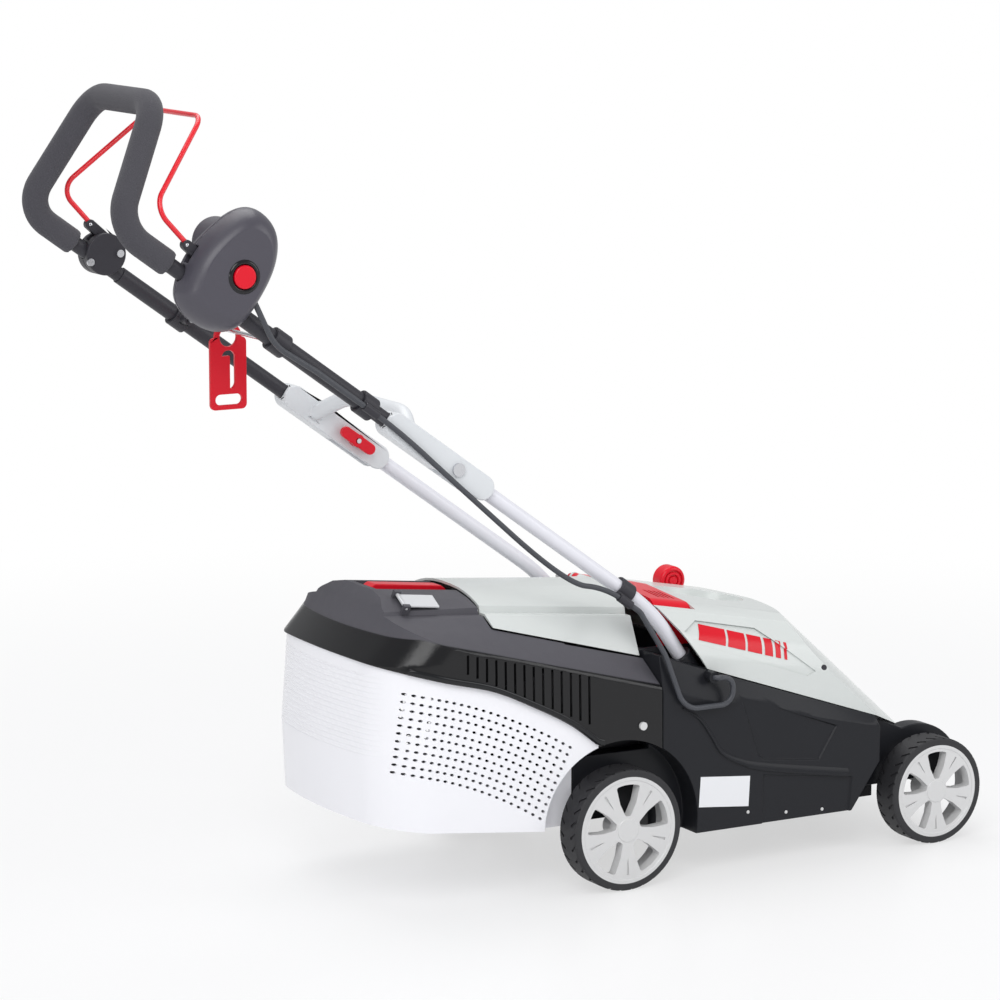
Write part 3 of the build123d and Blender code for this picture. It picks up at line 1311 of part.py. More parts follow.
BRIDGE_AT = 62.0
BRIDGE_RISE = 30.0
BRIDGE_R = 10.0
with BuildPart() as handle_bridge:
    for side in (-1, 1):
        y = side * HANDLE_HALF
        link_plate(along(-CASING_DOWN), along(CASING_UP), CASING_R, y + CASING_R, y - CASING_R)
    span = HANDLE_HALF - CASING_R + BRIDGE_R / 2
    arch = [
        spot(BRIDGE_AT, span),
        spot(BRIDGE_AT, 0.6 * span, BRIDGE_RISE),
        spot(BRIDGE_AT, -0.6 * span, BRIDGE_RISE),
        spot(BRIDGE_AT, -span),
    ]
    swept_tube(arch, [2 * BRIDGE_RISE, 2 * BRIDGE_RISE], BRIDGE_R)
    for side in (-1, 1):
        y = side * HANDLE_HALF
        fork = [
            along(FORK_END, 3 * CASING_R),
            along(FORK_END, -3 * CASING_R),
            along(-2 * CASING_UP, -3 * CASING_R),
            along(-2 * CASING_UP, 3 * CASING_R),
        ]
        side_slab(fork, y + TUBE_R + FIT, y - TUBE_R - FIT, mode=Mode.SUBTRACT)
        along_round(LOOP_START, 2 * CASING_UP, TUBE_R + SLIP, y, mode=Mode.SUBTRACT)
        cross_round(JOINT_X, JOINT_Z, BOLT_R + SLIP, y - 2 * CASING_R, y + 2 * CASING_R, mode=Mode.SUBTRACT)
save(handle_bridge.part, "handle_bridge")

BOLT_HEAD_R = 8.0
NUT_WIDTH = 12.0
NUT_R = 8.0
WING_REACH = 20.0
CHEEK_OUT = HANDLE_HALF + CASING_R
CHEEK_INSIDE = HANDLE_HALF - CASING_R
with BuildPart() as joint_bolts:
    for side in (-1, 1):
        bolt_end = side * (CHEEK_INSIDE - NUT_WIDTH - 4 * FIT)
        cross_round(JOINT_X, JOINT_Z, BOLT_R, side * CHEEK_OUT, bolt_end)
        cross_round(JOINT_X, JOINT_Z, BOLT_HEAD_R, side * CHEEK_OUT, side * (CHEEK_OUT + BOLT_R))
save(joint_bolts.part, "joint_bolts")


def wing_nut(side):
    """Make one wing nut on the inner end of its joint bolt."""
    face = side * (CHEEK_INSIDE - FIT)
    back = side * (CHEEK_INSIDE - FIT - NUT_WIDTH)
    wing = sorted((back, back + side * NUT_WIDTH / 2))
    with BuildPart() as nut:
        cross_round(JOINT_X, JOINT_Z, NUT_R, face, back)
        ends = (along(-WING_REACH), along(WING_REACH))
        link_plate(*ends, NUT_R - 1.0, wing[1], wing[0])
        cross_round(JOINT_X, JOINT_Z, BOLT_R + SLIP, face, back, mode=Mode.SUBTRACT)
    return nut.part


save(wing_nut(1), "wing_nut_left")
save(wing_nut(-1), "wing_nut_right")


# Bail
PIVOT_AT = 400.0
PIVOT_PIN_R = 3.0
ARM_Y = 134.0
BAIL_ARM_WIDTH = 10.0
BAIL_ARM_R = 6.0
ARM_AT = 440.0
pivot = along(PIVOT_AT, BAIL_PIVOT_LIFT)
arm_end = along(ARM_AT, BAIL_PIVOT_LIFT + 4.0)
bail_knee = (rear(-590.0), ARM_Y - 1.0, 852.0)
bail_top = (rear(-500.0), BAIL_TOP_HALF, 946.0)
with BuildPart() as bail_wire:
    half_route = [spot(ARM_AT - 14.0, ARM_Y, BAIL_PIVOT_LIFT + 2.6), bail_knee, bail_top]
    route = half_route + [(x, -y, z) for x, y, z in reversed(half_route)]
    swept_tube(route, [24.0, 30.0, 30.0, 24.0], BAIL_R)
save(bail_wire.part, "bail_wire")

with BuildPart() as bail_arms:
    for side in (-1, 1):
        edge = (side * ARM_Y + BAIL_ARM_WIDTH / 2, side * ARM_Y - BAIL_ARM_WIDTH / 2)
        link_plate(pivot, arm_end, BAIL_ARM_R, *edge)
        cross_round(*pivot, PIVOT_PIN_R + SLIP, *edge, mode=Mode.SUBTRACT)
    add(bail_wire.part, mode=Mode.SUBTRACT)
save(bail_arms.part, "bail_arms")

# Switch box on the right leg, its bail slot, button and plug inlet
SWITCH_X = rear(-498.0)
SWITCH_Z = 778.0
SPLIT = -HANDLE_HALF
OUTER_DEPTH = 32.0
INNER_DEPTH = 20.0
OUTER_FORM = ((0.0, 1.0), (0.38, 0.96), (0.75, 0.86), (1.0, 0.68))
INNER_FORM = ((0.0, 1.0), (0.6, 0.95), (1.0, 0.84))
CAVITY_R = 25.0
INLET_X = rear(-490.0)
INLET_Z = 804.0
INLET_R = 29.0
INLET_WALL = 3.0
INLET_DEPTH = 36.0
BUTTON_X = rear(-495.0)
BUTTON_Z = 772.0
BUTTON_PROUD = 4.0
box_corners = [
    (-68.0, -20.0),
    (-55.0, 14.0),
    (-18.0, 52.0),
    (24.0, 69.0),
    (53.0, 46.0),
    (55.0, 14.0),
    (27.0, -42.0),
    (-4.0, -70.0),
]


def box_outline(y, shrink):
    """Draw the switch box's side outline at a y, shrunk about its middle."""
    with BuildSketch(Plane.XZ.offset(-y)) as outline:
        with BuildLine():
            Spline(*[(SWITCH_X + shrink * x, SWITCH_Z + shrink * z) for x, z in box_corners], periodic=True)
        make_face()
    return outline.sketch


def leg_bore(y):
    """Cut the handle tube's way through a housing."""
    along_round(0.0, sleeve_end, SLEEVE_R, y, mode=Mode.SUBTRACT)
    along_round(0.0, 2 * HOUSING_AT, TUBE_R, y, mode=Mode.SUBTRACT)


def arm_slot(side):
    """Cut the bail arm's room out of a housing."""
    edge = (side * ARM_Y + BAIL_ARM_WIDTH / 2 + 2 * FIT, side * ARM_Y - BAIL_ARM_WIDTH / 2 - 2 * FIT)
    for drop in (6.0, -12.0):
        link_plate(pivot, along(2 * ARM_AT - PIVOT_AT, BAIL_PIVOT_LIFT + drop), BAIL_ARM_R + 2.0, *edge, mode=Mode.SUBTRACT)


CLIP_LIFT = -4.5
CABLE_Y = -151.5
cable_start = (rear(-478.0), CABLE_Y, 744.0)
upper_route = [
    cable_start,
    (rear(-452.0), CABLE_Y, 690.0),
    spot(228.0, CABLE_Y, CLIP_LIFT),
    spot(CLIP_UPPER_AT, CABLE_Y, CLIP_LIFT),
]
with BuildPart() as cable_upper:
    upper_length = swept_tube(upper_route, [60.0, 60.0], CABLE_R)
save(cable_upper.part, "cable_upper")

with BuildPart() as switch_box_outer:
    loft([box_outline(SPLIT - depth * OUTER_DEPTH, shrink) for depth, shrink in OUTER_FORM])
    cross_round(BUTTON_X, BUTTON_Z, CAVITY_R, SPLIT, SPLIT - OUTER_DEPTH / 2, mode=Mode.SUBTRACT)
    cross_round(BUTTON_X, BUTTON_Z, BUTTON_R + FIT, SPLIT, SPLIT - 2 * OUTER_DEPTH, mode=Mode.SUBTRACT)
    leg_bore(-HANDLE_HALF)
    arm_slot(-1)
    cross_round(*pivot, PIVOT_PIN_R, SPLIT - OUTER_DEPTH / 2, SPLIT + INNER_DEPTH / 2)
    add(cable_upper.part, mode=Mode.SUBTRACT)
save(switch_box_outer.part, "switch_box_outer")

with BuildPart() as switch_box_inner:
    loft([box_outline(SPLIT + depth * INNER_DEPTH, shrink) for depth, shrink in INNER_FORM])
    cross_round(INLET_X, INLET_Z, INLET_R, SPLIT + INNER_DEPTH / 2, SPLIT + INNER_DEPTH + INLET_DEPTH)
    inlet_floor = SPLIT + INNER_DEPTH + INLET_WALL
    inlet_bore = INLET_R - INLET_WALL
    cross_round(INLET_X, INLET_Z, inlet_bore, inlet_floor, inlet_floor + 2 * INLET_DEPTH, mode=Mode.SUBTRACT)
    cross_round(BUTTON_X, BUTTON_Z, CAVITY_R, SPLIT, SPLIT + INNER_DEPTH / 2, mode=Mode.SUBTRACT)
    leg_bore(-HANDLE_HALF)
    arm_slot(-1)
    cross_round(*pivot, PIVOT_PIN_R, SPLIT - OUTER_DEPTH, SPLIT + INNER_DEPTH / 2, mode=Mode.SUBTRACT)
save(switch_box_inner.part, "switch_box_inner")

with BuildPart() as inlet_pins:
    for offset in (-9.0, 9.0):
        cross_round(INLET_X + offset, INLET_Z, 2.4, inlet_floor, inlet_floor + 0.6 * INLET_DEPTH)
save(inlet_pins.part, "inlet_pins")

SWITCH_SIZE = 15.0
with BuildPart() as switch_block:
    switch_y = (SPLIT - OUTER_DEPTH / 2 + BUTTON_STROKE + 5.0, SPLIT + INNER_DEPTH / 2)
    room = (BUTTON_X - SWITCH_SIZE / 2 + 12.0, BUTTON_X + SWITCH_SIZE / 2 + 12.0)
    block(room, (SPLIT + TUBE_R + FIT - 6.0, switch_y[1]), (BUTTON_Z - SWITCH_SIZE, BUTTON_Z + SWITCH_SIZE))
    leg_bore(-HANDLE_HALF)
save(switch_block.part, "switch_block")

with BuildPart() as lock_button:
    face = SPLIT - OUTER_DEPTH - BUTTON_PROUD
    cross_round(BUTTON_X, BUTTON_Z, BUTTON_R, face, SPLIT - OUTER_DEPTH / 2 + FIT)
    fillet(lock_button.edges().sort_by(Axis.Y)[0], BUTTON_R / 6)
    collar_y = SPLIT - OUTER_DEPTH / 2 + FIT
    cross_round(BUTTON_X, BUTTON_Z, BUTTON_R + 4.0, collar_y, collar_y + 2.0)
save(lock_button.part, "lock_button")

# Bail housing on the left leg
HOUSING_LIFT = 9.0
HOUSING_DEPTH = HOUSING_WIDTH / 2
housing_middle = along(HOUSING_AT, HOUSING_LIFT)
housing_holes = [along(HOUSING_AT - 13.0, HOUSING_LIFT + 10.0), along(HOUSING_AT + 13.0, HOUSING_LIFT - 19.0)]
for half, name in ((1, "pivot_housing_outer"), (-1, "pivot_housing_inner")):
    with BuildPart() as housing:
        cross_round(*housing_middle, HOUSING_R + 2.0, HANDLE_HALF, HANDLE_HALF + half * HOUSING_DEPTH)
        leg_bore(HANDLE_HALF)
        arm_slot(1)
        pin_mode = Mode.ADD if half > 0 else Mode.SUBTRACT
        cross_round(*pivot, PIVOT_PIN_R, HANDLE_HALF + 0.7 * HOUSING_DEPTH, HANDLE_HALF - 0.7 * HOUSING_DEPTH, mode=pin_mode)
    save(housing.part, name)

with BuildPart() as housing_screws:
    for hole in housing_holes:
        head_y = HANDLE_HALF - HOUSING_DEPTH
        cross_round(*hole, SCREW_HEAD_R, head_y, head_y - SCREW_HEAD)
save(housing_screws.part, "housing_screws")

# Strain-relief rod with its clips and hook
CLIP_WALL = 4.0
ROD_EYE_R = 6.0
ROD_REACH = HANDLE_HALF - SLEEVE_R - CLIP_WALL - 2.0
EYE_DEPTH = 12.0
rod_at = along(ROD_AT)
with BuildPart() as rod_clips:
    for side in (-1, 1):
        y = side * HANDLE_HALF
        along_round(ROD_AT - CLIP_WIDTH / 2, ROD_AT + CLIP_WIDTH / 2, SLEEVE_R + CLIP_WALL, y)
        cross_round(*rod_at, ROD_EYE_R, side * (ROD_REACH - EYE_DEPTH), y)
        along_round(0.0, 2 * ROD_AT, SLEEVE_R, y, mode=Mode.SUBTRACT)
        cross_round(*rod_at, ROD_R + SLIP, 0.0, side * (ROD_REACH + FIT), mode=Mode.SUBTRACT)
save(rod_clips.part, "rod_clips")

with BuildPart() as relief_rod:
    cross_round(*rod_at, ROD_R, -ROD_REACH, ROD_REACH)
save(relief_rod.part, "relief_rod")

HOOK_THICK = 5.0
HOOK_HALF = 23.5
HOOK_DROP = 103.0
HOOK_RING_R = 11.0
HOOK_RIM = 6.5
HOOK_SLOT = (17.0, 46.0)
HOOK_FOOT = (34.0, 12.5)
with BuildPart() as cord_hook:
    hook_x, hook_z = rod_at
    ring_z = hook_z + ROD_R + SLIP - HOOK_RING_R
    foot_z = ring_z + HOOK_RING_R + HOOK_RIM - HOOK_DROP
    tongue_z = foot_z + 24.0 + HOOK_SLOT[1] / 2
    with BuildSketch(Plane.XZ.offset(-HOOK_THICK / 2)):
        with Locations((hook_x, ring_z)):
            Circle(HOOK_RING_R + HOOK_RIM)
        with Locations((hook_x, (ring_z + foot_z) / 2)):
            RectangleRounded(2 * HOOK_HALF, ring_z - foot_z, HOOK_RIM)
        with Locations((hook_x, ring_z)):
            Circle(HOOK_RING_R, mode=Mode.SUBTRACT)
        with Locations((hook_x, tongue_z)):
            RectangleRounded(*HOOK_SLOT, HOOK_SLOT[0] / 2 - 0.1, mode=Mode.SUBTRACT)
        with Locations((hook_x, foot_z + 12.0)):
            RectangleRounded(*HOOK_FOOT, HOOK_FOOT[1] / 2 - 0.1, mode=Mode.SUBTRACT)
    extrude(amount=HOOK_THICK)
    # Tongue that the lead is looped over
    tongue = (hook_x - HOOK_SLOT[0] / 2, hook_x + HOOK_SLOT[0] / 8)
    block(tongue, (-HOOK_THICK / 2, HOOK_THICK / 2), (tongue_z - 0.55 * HOOK_SLOT[1], tongue_z + 0.36 * HOOK_SLOT[1]))
save(cord_hook.part, "cord_hook")


# Cable, its clips and its gland
CLIP_LOWER_AT = -290.0
LOWER_LIFT = -12.0
LOWER_Y = -149.0
SLACK_Y = -152.5
slack_route = [
    spot(CLIP_UPPER_AT, CABLE_Y, CLIP_LIFT),
    spot(CLIP_UPPER_AT - 2 * CLIP_WIDTH, CABLE_Y, CLIP_LIFT),
    spot(0.0, SLACK_Y, -16.0),
    spot(-205.0, SLACK_Y, -37.0),
    spot(CLIP_LOWER_AT + 1.5 * CLIP_WIDTH, LOWER_Y, LOWER_LIFT),
    spot(CLIP_LOWER_AT, LOWER_Y, LOWER_LIFT),
]
with BuildPart() as cable_slack:
    slack_length = swept_tube(slack_route, [120.0, 200.0, 200.0, 60.0], CABLE_R)
save(cable_slack.part, "cable_slack")

GLAND_X = rear(128.0)
GLAND_Z = 248.0
GLAND_R = 7.0
LOOP_Y = -181.0
LOOP_LOW = 214.0
LOOP_REACH = 24.0
lower_route = [
    spot(CLIP_LOWER_AT, LOWER_Y, LOWER_LIFT),
    spot(CLIP_LOWER_AT - 1.2 * CLIP_WIDTH, LOWER_Y, LOWER_LIFT),
    (rear(64.0), -166.0, 280.0),
    (rear(82.0), LOOP_Y, LOOP_LOW),
    (GLAND_X + LOOP_REACH, LOOP_Y, LOOP_LOW),
    (GLAND_X + LOOP_REACH, LOOP_Y, GLAND_Z),
    (GLAND_X, LOOP_Y, GLAND_Z),
    (GLAND_X, LOOP_Y + 12.0, GLAND_Z),
]
with BuildPart() as cable_lower:
    lower_length = swept_tube(lower_route, [12.0, 60.0, 26.0, 17.0, 14.0, 8.0], CABLE_R)
save(cable_lower.part, "cable_lower")

with BuildPart() as gland_blank:
    cross_round(GLAND_X, GLAND_Z, GLAND_R, -COVER_HALF, -DECK_HALF - 4.0)
    add(deck.part, mode=Mode.SUBTRACT)
    add(motor_cover.part, mode=Mode.SUBTRACT)
    add(cable_lower.part, mode=Mode.SUBTRACT)
cable_gland = gland_blank.part.solids().sort_by(Axis.Y)[0]
save(cable_gland, "cable_gland")

for name, at, lift, y, core in (
    ("cable_clip_upper", CLIP_UPPER_AT, CLIP_LIFT, CABLE_Y, SLEEVE_R),
    ("cable_clip_lower", CLIP_LOWER_AT, LOWER_LIFT, LOWER_Y, TUBE_R),
):
    with BuildPart() as clip:
        span = (at - CLIP_WIDTH / 2, at + CLIP_WIDTH / 2)
        along_round(*span, core + CLIP_WALL, -HANDLE_HALF)
        along_round(*span, CABLE_R + CLIP_WALL / 2, y, lift)
        reach = (Vector(*spot(at, y, lift)) - Vector(*spot(at, -HANDLE_HALF))) / 2
        web = Plane(origin=Vector(*spot(at, -HANDLE_HALF)) + reach, x_dir=reach, z_dir=HANDLE_DIR)
        with Locations(web.location):
            Box(2 * reach.length, CLIP_WALL, CLIP_WIDTH)
        along_round(at - CLIP_WIDTH, at + CLIP_WIDTH, core, -HANDLE_HALF, mode=Mode.SUBTRACT)
        along_round(at - CLIP_WIDTH, at + CLIP_WIDTH, CABLE_R, y, lift, mode=Mode.SUBTRACT)
    save(clip.part, name)

# Straps that hold the axle bars under the deck
STRAP_Y = 95.0
STRAP_WIDTH = 12.0
STRAP_WALL = 5.0
with BuildPart() as axle_straps:
    for bar_x, bar_z, seat_z in (
        (REAR_BAR_X, REAR_WHEEL_R, CHUTE_BOTTOM),
        (FRONT_BAR_X, FRONT_WHEEL_R, NOSE_BOTTOM),
    ):
        for side in (-1, 1):
            strap = (side * STRAP_Y - STRAP_WIDTH / 2, side * STRAP_Y + STRAP_WIDTH / 2)
            room = STRAP_WALL + STUB_R + FIT
            block((bar_x - 1.6 * room, bar_x + 1.6 * room), strap, (bar_z, seat_z))
            cross_round(bar_x, bar_z, room, *strap)
            block((bar_x - 2 * room, bar_x + 2 * room), strap, (seat_z, seat_z + 4 * room), mode=Mode.SUBTRACT)
            cross_round(bar_x, bar_z, STUB_R + SLIP, *strap, mode=Mode.SUBTRACT)
save(axle_straps.part, "axle_straps")
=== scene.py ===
"""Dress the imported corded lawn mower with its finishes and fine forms, and set it in a pale studio.

Everything is in metres, in the part's own frame: x runs forward, z up, and the floor is z = 0.
"""

import logging
import math
from dataclasses import dataclass
from enum import Enum

import bmesh
import bpy
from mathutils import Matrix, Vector
from mathutils.bvhtree import BVHTree


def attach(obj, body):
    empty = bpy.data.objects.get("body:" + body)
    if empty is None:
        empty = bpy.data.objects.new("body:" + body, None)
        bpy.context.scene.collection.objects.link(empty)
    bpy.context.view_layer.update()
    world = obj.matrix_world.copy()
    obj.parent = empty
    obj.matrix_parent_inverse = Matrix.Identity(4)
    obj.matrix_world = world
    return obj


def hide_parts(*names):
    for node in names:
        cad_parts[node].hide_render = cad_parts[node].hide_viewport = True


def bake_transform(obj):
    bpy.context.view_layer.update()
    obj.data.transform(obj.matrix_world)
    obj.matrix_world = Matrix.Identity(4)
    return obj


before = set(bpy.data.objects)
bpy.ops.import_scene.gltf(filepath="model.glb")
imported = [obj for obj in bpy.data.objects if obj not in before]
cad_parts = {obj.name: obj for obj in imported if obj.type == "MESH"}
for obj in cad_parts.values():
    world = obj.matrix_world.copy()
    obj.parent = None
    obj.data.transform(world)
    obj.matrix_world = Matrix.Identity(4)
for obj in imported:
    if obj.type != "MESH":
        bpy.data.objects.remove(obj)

LOG = logging.getLogger("lawn_mower")
MM = 0.001
AXLE_X = 55.1
JOINT_X = -212.0
JOINT_Z = 528.0
HANDLE_RISE = math.radians(35.7)
OUTSIDE = 260.0
WELD = 0.00001
FLAT_ANGLE = math.radians(0.6)
EDGE_ANGLE = math.radians(34)
SPLIT_ANGLE = math.radians(28)
FACE_WEIGHT = 60
LAMP_AIM = Vector((0, 0, 0.35))

Colour = tuple[float, float, float]
Spot = tuple[float, float]


def at(ahead: float, y: float, z: float) -> Vector:
    """Give a point in metres from millimetres ahead of the rear axle, across and up."""
    return Vector(((ahead + AXLE_X) * MM, y * MM, z * MM))


def on_handle(run: float, y: float, lift: float) -> Vector:
    """Give a point in metres by its place on the handle.

    It is told by the run up the handle from the fold joint, y and the lift off the handle's line.

    Args:
        run: Millimetres up the handle line.
        y: Millimetres across.
        lift: Millimetres square to the handle line.

    Returns:
        The point in metres.
    """
    ahead = JOINT_X - run * math.cos(HANDLE_RISE) + lift * math.sin(HANDLE_RISE)
    up = JOINT_Z + run * math.sin(HANDLE_RISE) + lift * math.cos(HANDLE_RISE)
    return at(ahead, y, up)


def tint(red: int, green: int, blue: int) -> Colour:
    """Turn a screen colour of 0 to 255 into linear light.

    Args:
        red: Red as seen on screen.
        green: Green as seen on screen.
        blue: Blue as seen on screen.

    Returns:
        The linear colour.
    """

    def linear(level: int) -> float:
        """Turn one channel into linear light."""
        share = level / 255
        return share / 12.92 if share <= 0.04045 else ((share + 0.055) / 1.055) ** 2.4

    return (linear(red), linear(green), linear(blue))


class Side(Enum):
    """The mower's two sides, by the sign of y."""

    RIGHT = -1
    LEFT = 1


class Slot(Enum):
    """The record's material slots, one named with each new piece."""

    BLACK = "black"
    GLOSS = "black_gloss"
    PALE = "pale"
    WHITE = "white"
    RED = "red"
    FOAM = "foam"
    CABLE = "cable"
    STEEL = "steel"


class Shader:
    """A node material under construction, read from the piece's own place in the frame."""

    def __init__(self, name: str) -> None:
        """Start a material with one principled surface.

        Args:
            name: The material's name.
        """
        self.material = bpy.data.materials.new(name)
        self.material.use_nodes = True
        self.tree = self.material.node_tree
        self.surface = self.tree.nodes["Principled BSDF"]
        self.coords = self.tree.nodes.new("ShaderNodeTexCoord")
        self.place = self.coords.outputs["Object"]

    def node(self, kind: str, **inputs: object) -> bpy.types.Node:
        """Add a node and set or link its inputs by name.

        Args:
            kind: The node's type.
            inputs: Values or sockets by input name, with _ for a space.

        Returns:
            The new node.
        """
        made = self.tree.nodes.new(kind)
        for label, value in inputs.items():
            self.feed(made.inputs[label.replace("_", " ")], value)
        return made

    def feed(self, socket: bpy.types.NodeSocket, value: object) -> None:
        """Set an input to a number, or link it to another node's socket."""
        if isinstance(value, bpy.types.NodeSocket):
            self.tree.links.new(value, socket)
        else:
            socket.default_value = value

    def noise(self, scale: float, detail: float = 3.0, stretch: Colour | None = None) -> bpy.types.NodeSocket:
        """Give a noise between 0 and 1 over the piece.

        Args:
            scale: Cells to the metre.
            detail: How many finer layers it has.
            stretch: Scale of each axis, where the grain has a direction.

        Returns:
            The noise's value.
        """
        place = self.place
        if stretch:
            place = self.node("ShaderNodeMapping", Vector=place, Scale=stretch).outputs["Vector"]
        return self.node("ShaderNodeTexNoise", Vector=place, Scale=scale, Detail=detail).outputs["Fac"]

    def spread(self, value: bpy.types.NodeSocket, span: Spot, result: Spot) -> bpy.types.NodeSocket:
        """Map one range of a value smoothly to another and hold it there.

        Args:
            value: The value to map.
            span: Where it runs from and to.
            result: What those ends become.

        Returns:
            The mapped value.
        """
        made = self.tree.nodes.new("ShaderNodeMapRange")
        made.interpolation_type = "SMOOTHSTEP"
        self.feed(made.inputs["Value"], value)
        for label, number in zip(("From Min", "From Max", "To Min", "To Max"), span + result):
            made.inputs[label].default_value = number
        return made.outputs["Result"]

    def math(self, kind: str, first: object, second: object) -> bpy.types.NodeSocket:
        """Join two values by a sum.

        Args:
            kind: The sum, such as ADD or MULTIPLY.
            first: A number or socket.
            second: A number or socket.

        Returns:
            The result.
        """
        made = self.tree.nodes.new("ShaderNodeMath")
        made.operation = kind
        self.feed(made.inputs[0], first)
        self.feed(made.inputs[1], second)
        return made.outputs["Value"]

    def blend(self, share: bpy.types.NodeSocket, low: Colour, high: Colour) -> bpy.types.NodeSocket:
        """Mix two colours by a share from 0 to 1."""
        made = self.tree.nodes.new("ShaderNodeMix")
        made.data_type = "RGBA"
        self.feed(made.inputs["Factor"], share)
        made.inputs[6].default_value = (*low, 1.0)
        made.inputs[7].default_value = (*high, 1.0)
        return made.outputs[2]

    def axis(self, label: str, normal: bool = False) -> bpy.types.NodeSocket:
        """Give one coordinate of the place, or of the surface's own normal."""
        source = self.coords.outputs["Normal"] if normal else self.place
        return self.node("ShaderNodeSeparateXYZ", Vector=source).outputs[label]

    def bump(self, height: bpy.types.NodeSocket, depth: float, strength: float = 1.0) -> None:
        """Raise the surface by a height, over any bump that it already has.

        Args:
            height: The height, 0 to 1.
            depth: Metres that a height of 1 stands for.
            strength: How far the bump shows.
        """
        made = self.node("ShaderNodeBump", Height=height, Distance=depth, Strength=strength)
        before = self.surface.inputs["Normal"].links
        if before:
            self.feed(made.inputs["Normal"], before[0].from_socket)
        self.feed(self.surface.inputs["Normal"], made.outputs["Normal"])

    def constant(self, **values: object) -> None:
        """Set numbers that are the same all over straight on the surface's sockets."""
        for label, value in values.items():
            self.surface.inputs[label.replace("_", " ")].default_value = value


def scaled(colour: Colour, share: float) -> Colour:
    """Lighten or darken a colour by a share."""
    return tuple(min(1.0, level * share) for level in colour)


@dataclass(frozen=True)
class Finish:
    """A surface finish with a colour that drifts a little and a roughness that varies."""

    name: str
    colour: Colour
    roughness: float
    mottle: float = 0.06

    def material(self) -> bpy.types.Material:
        """Give the finish's material, made on first use."""
        known = bpy.data.materials.get(self.name)
        if known:
            return known
        shader = Shader(self.name)
        self.lay(shader)
        return shader.material

    def lay(self, shader: Shader) -> None:
        """Lay out the finish's nodes.

        Args:
            shader: The material under construction.
        """
        drift = shader.noise(11.0)
        low = scaled(self.colour, 1 - self.mottle)
        high = scaled(self.colour, 1 + self.mottle)
        shader.feed(shader.surface.inputs["Base Color"], shader.blend(drift, low, high))
        patch = shader.noise(9.0, 2.0)
        span = (self.roughness * 0.96, min(1.0, self.roughness * 1.04))
        shader.feed(shader.surface.inputs["Roughness"], shader.spread(patch, (0.2, 0.8), span))


@dataclass(frozen=True)
class Moulded(Finish):
    """Injection-moulded plastic with a fine eroded grain."""

    grain: float = 0.00010
    gloss: float = 0.5
    cells: float = 1100.0

    def lay(self, shader: Shader) -> None:
        """Add the mould's grain and its strength of reflection to the plain finish."""
        super().lay(shader)
        shader.bump(shader.noise(self.cells, 2.0), self.grain, 0.6)
        shader.constant(IOR=1.48, Specular_IOR_Level=self.gloss)


@dataclass(frozen=True)
class LidPlastic(Moulded):
    """The box lid's plastic: grained charcoal on top and polished black down the sides."""

    side: Colour = (0.008, 0.008, 0.009)
    polish: float = 0.14
    ridge_z: float = 329.0
    ridge_from: float = -262.0
    ridge_fall: float = 0.265

    def lay(self, shader: Shader) -> None:
        """Turn from polished sides to a grained top at the line of the lid's ridge."""
        super().lay(shader)
        ahead = shader.math("SUBTRACT", shader.axis("X"), at(self.ridge_from, 0, 0).x)
        ridge = shader.math("SUBTRACT", self.ridge_z * MM, shader.math("MULTIPLY", ahead, self.ridge_fall))
        ridge = shader.math("MINIMUM", ridge, self.ridge_z * MM)
        over = shader.math("SUBTRACT", shader.axis("Z"), ridge)
        top = shader.spread(over, (-0.5 * MM, 1.5 * MM), (0.0, 1.0))
        shader.feed(shader.surface.inputs["Base Color"], shader.blend(top, self.side, self.colour))
        grain = shader.spread(shader.noise(60.0, 4.0), (0.3, 0.7), (0.0, 0.08))
        matte = shader.math("MULTIPLY", top, self.roughness - self.polish)
        rough = shader.math("ADD", grain, shader.math("ADD", matte, self.polish))
        shader.feed(shader.surface.inputs["Roughness"], rough)


@dataclass(frozen=True)
class Painted(Finish):
    """Sprayed paint on steel tube, with a faint orange peel."""

    def lay(self, shader: Shader) -> None:
        """Add the paint's peel and a thin clear coat."""
        super().lay(shader)
        shader.bump(shader.noise(420.0, 1.0), 0.00006, 0.5)
        shader.constant(Coat_Weight=0.25, Coat_Roughness=0.15)


@dataclass(frozen=True)
class Metal(Finish):
    """Bare or plated metal with fine drawn lines."""

    lines: Colour = (1.0, 1.0, 14.0)

    def lay(self, shader: Shader) -> None:
        """Add drawn lines along the piece and make it a metal."""
        super().lay(shader)
        shader.bump(shader.noise(260.0, 3.0, self.lines), 0.00005, 0.4)
        shader.constant(Metallic=1.0)


@dataclass(frozen=True)
class Foam(Finish):
    """Closed-cell grip foam: a dull skin of fine pits."""

    def lay(self, shader: Shader) -> None:
        """Add the foam's cells, its broad unevenness and a soft sheen."""
        super().lay(shader)
        cells = shader.node("ShaderNodeTexVoronoi", Vector=shader.place, Scale=760.0).outputs["Distance"]
        shader.bump(cells, 0.0006, 0.8)
        shader.bump(shader.noise(300.0, 4.0), 0.0005, 0.5)
        shader.constant(Sheen_Weight=0.12, Sheen_Roughness=0.5)


@dataclass(frozen=True)
class Rubber(Finish):
    """Dull black rubber or cable jacket with a faint bloom."""

    def lay(self, shader: Shader) -> None:
        """Add the rubber's fine skin."""
        super().lay(shader)
        shader.bump(shader.noise(800.0, 3.0), 0.00012, 0.6)


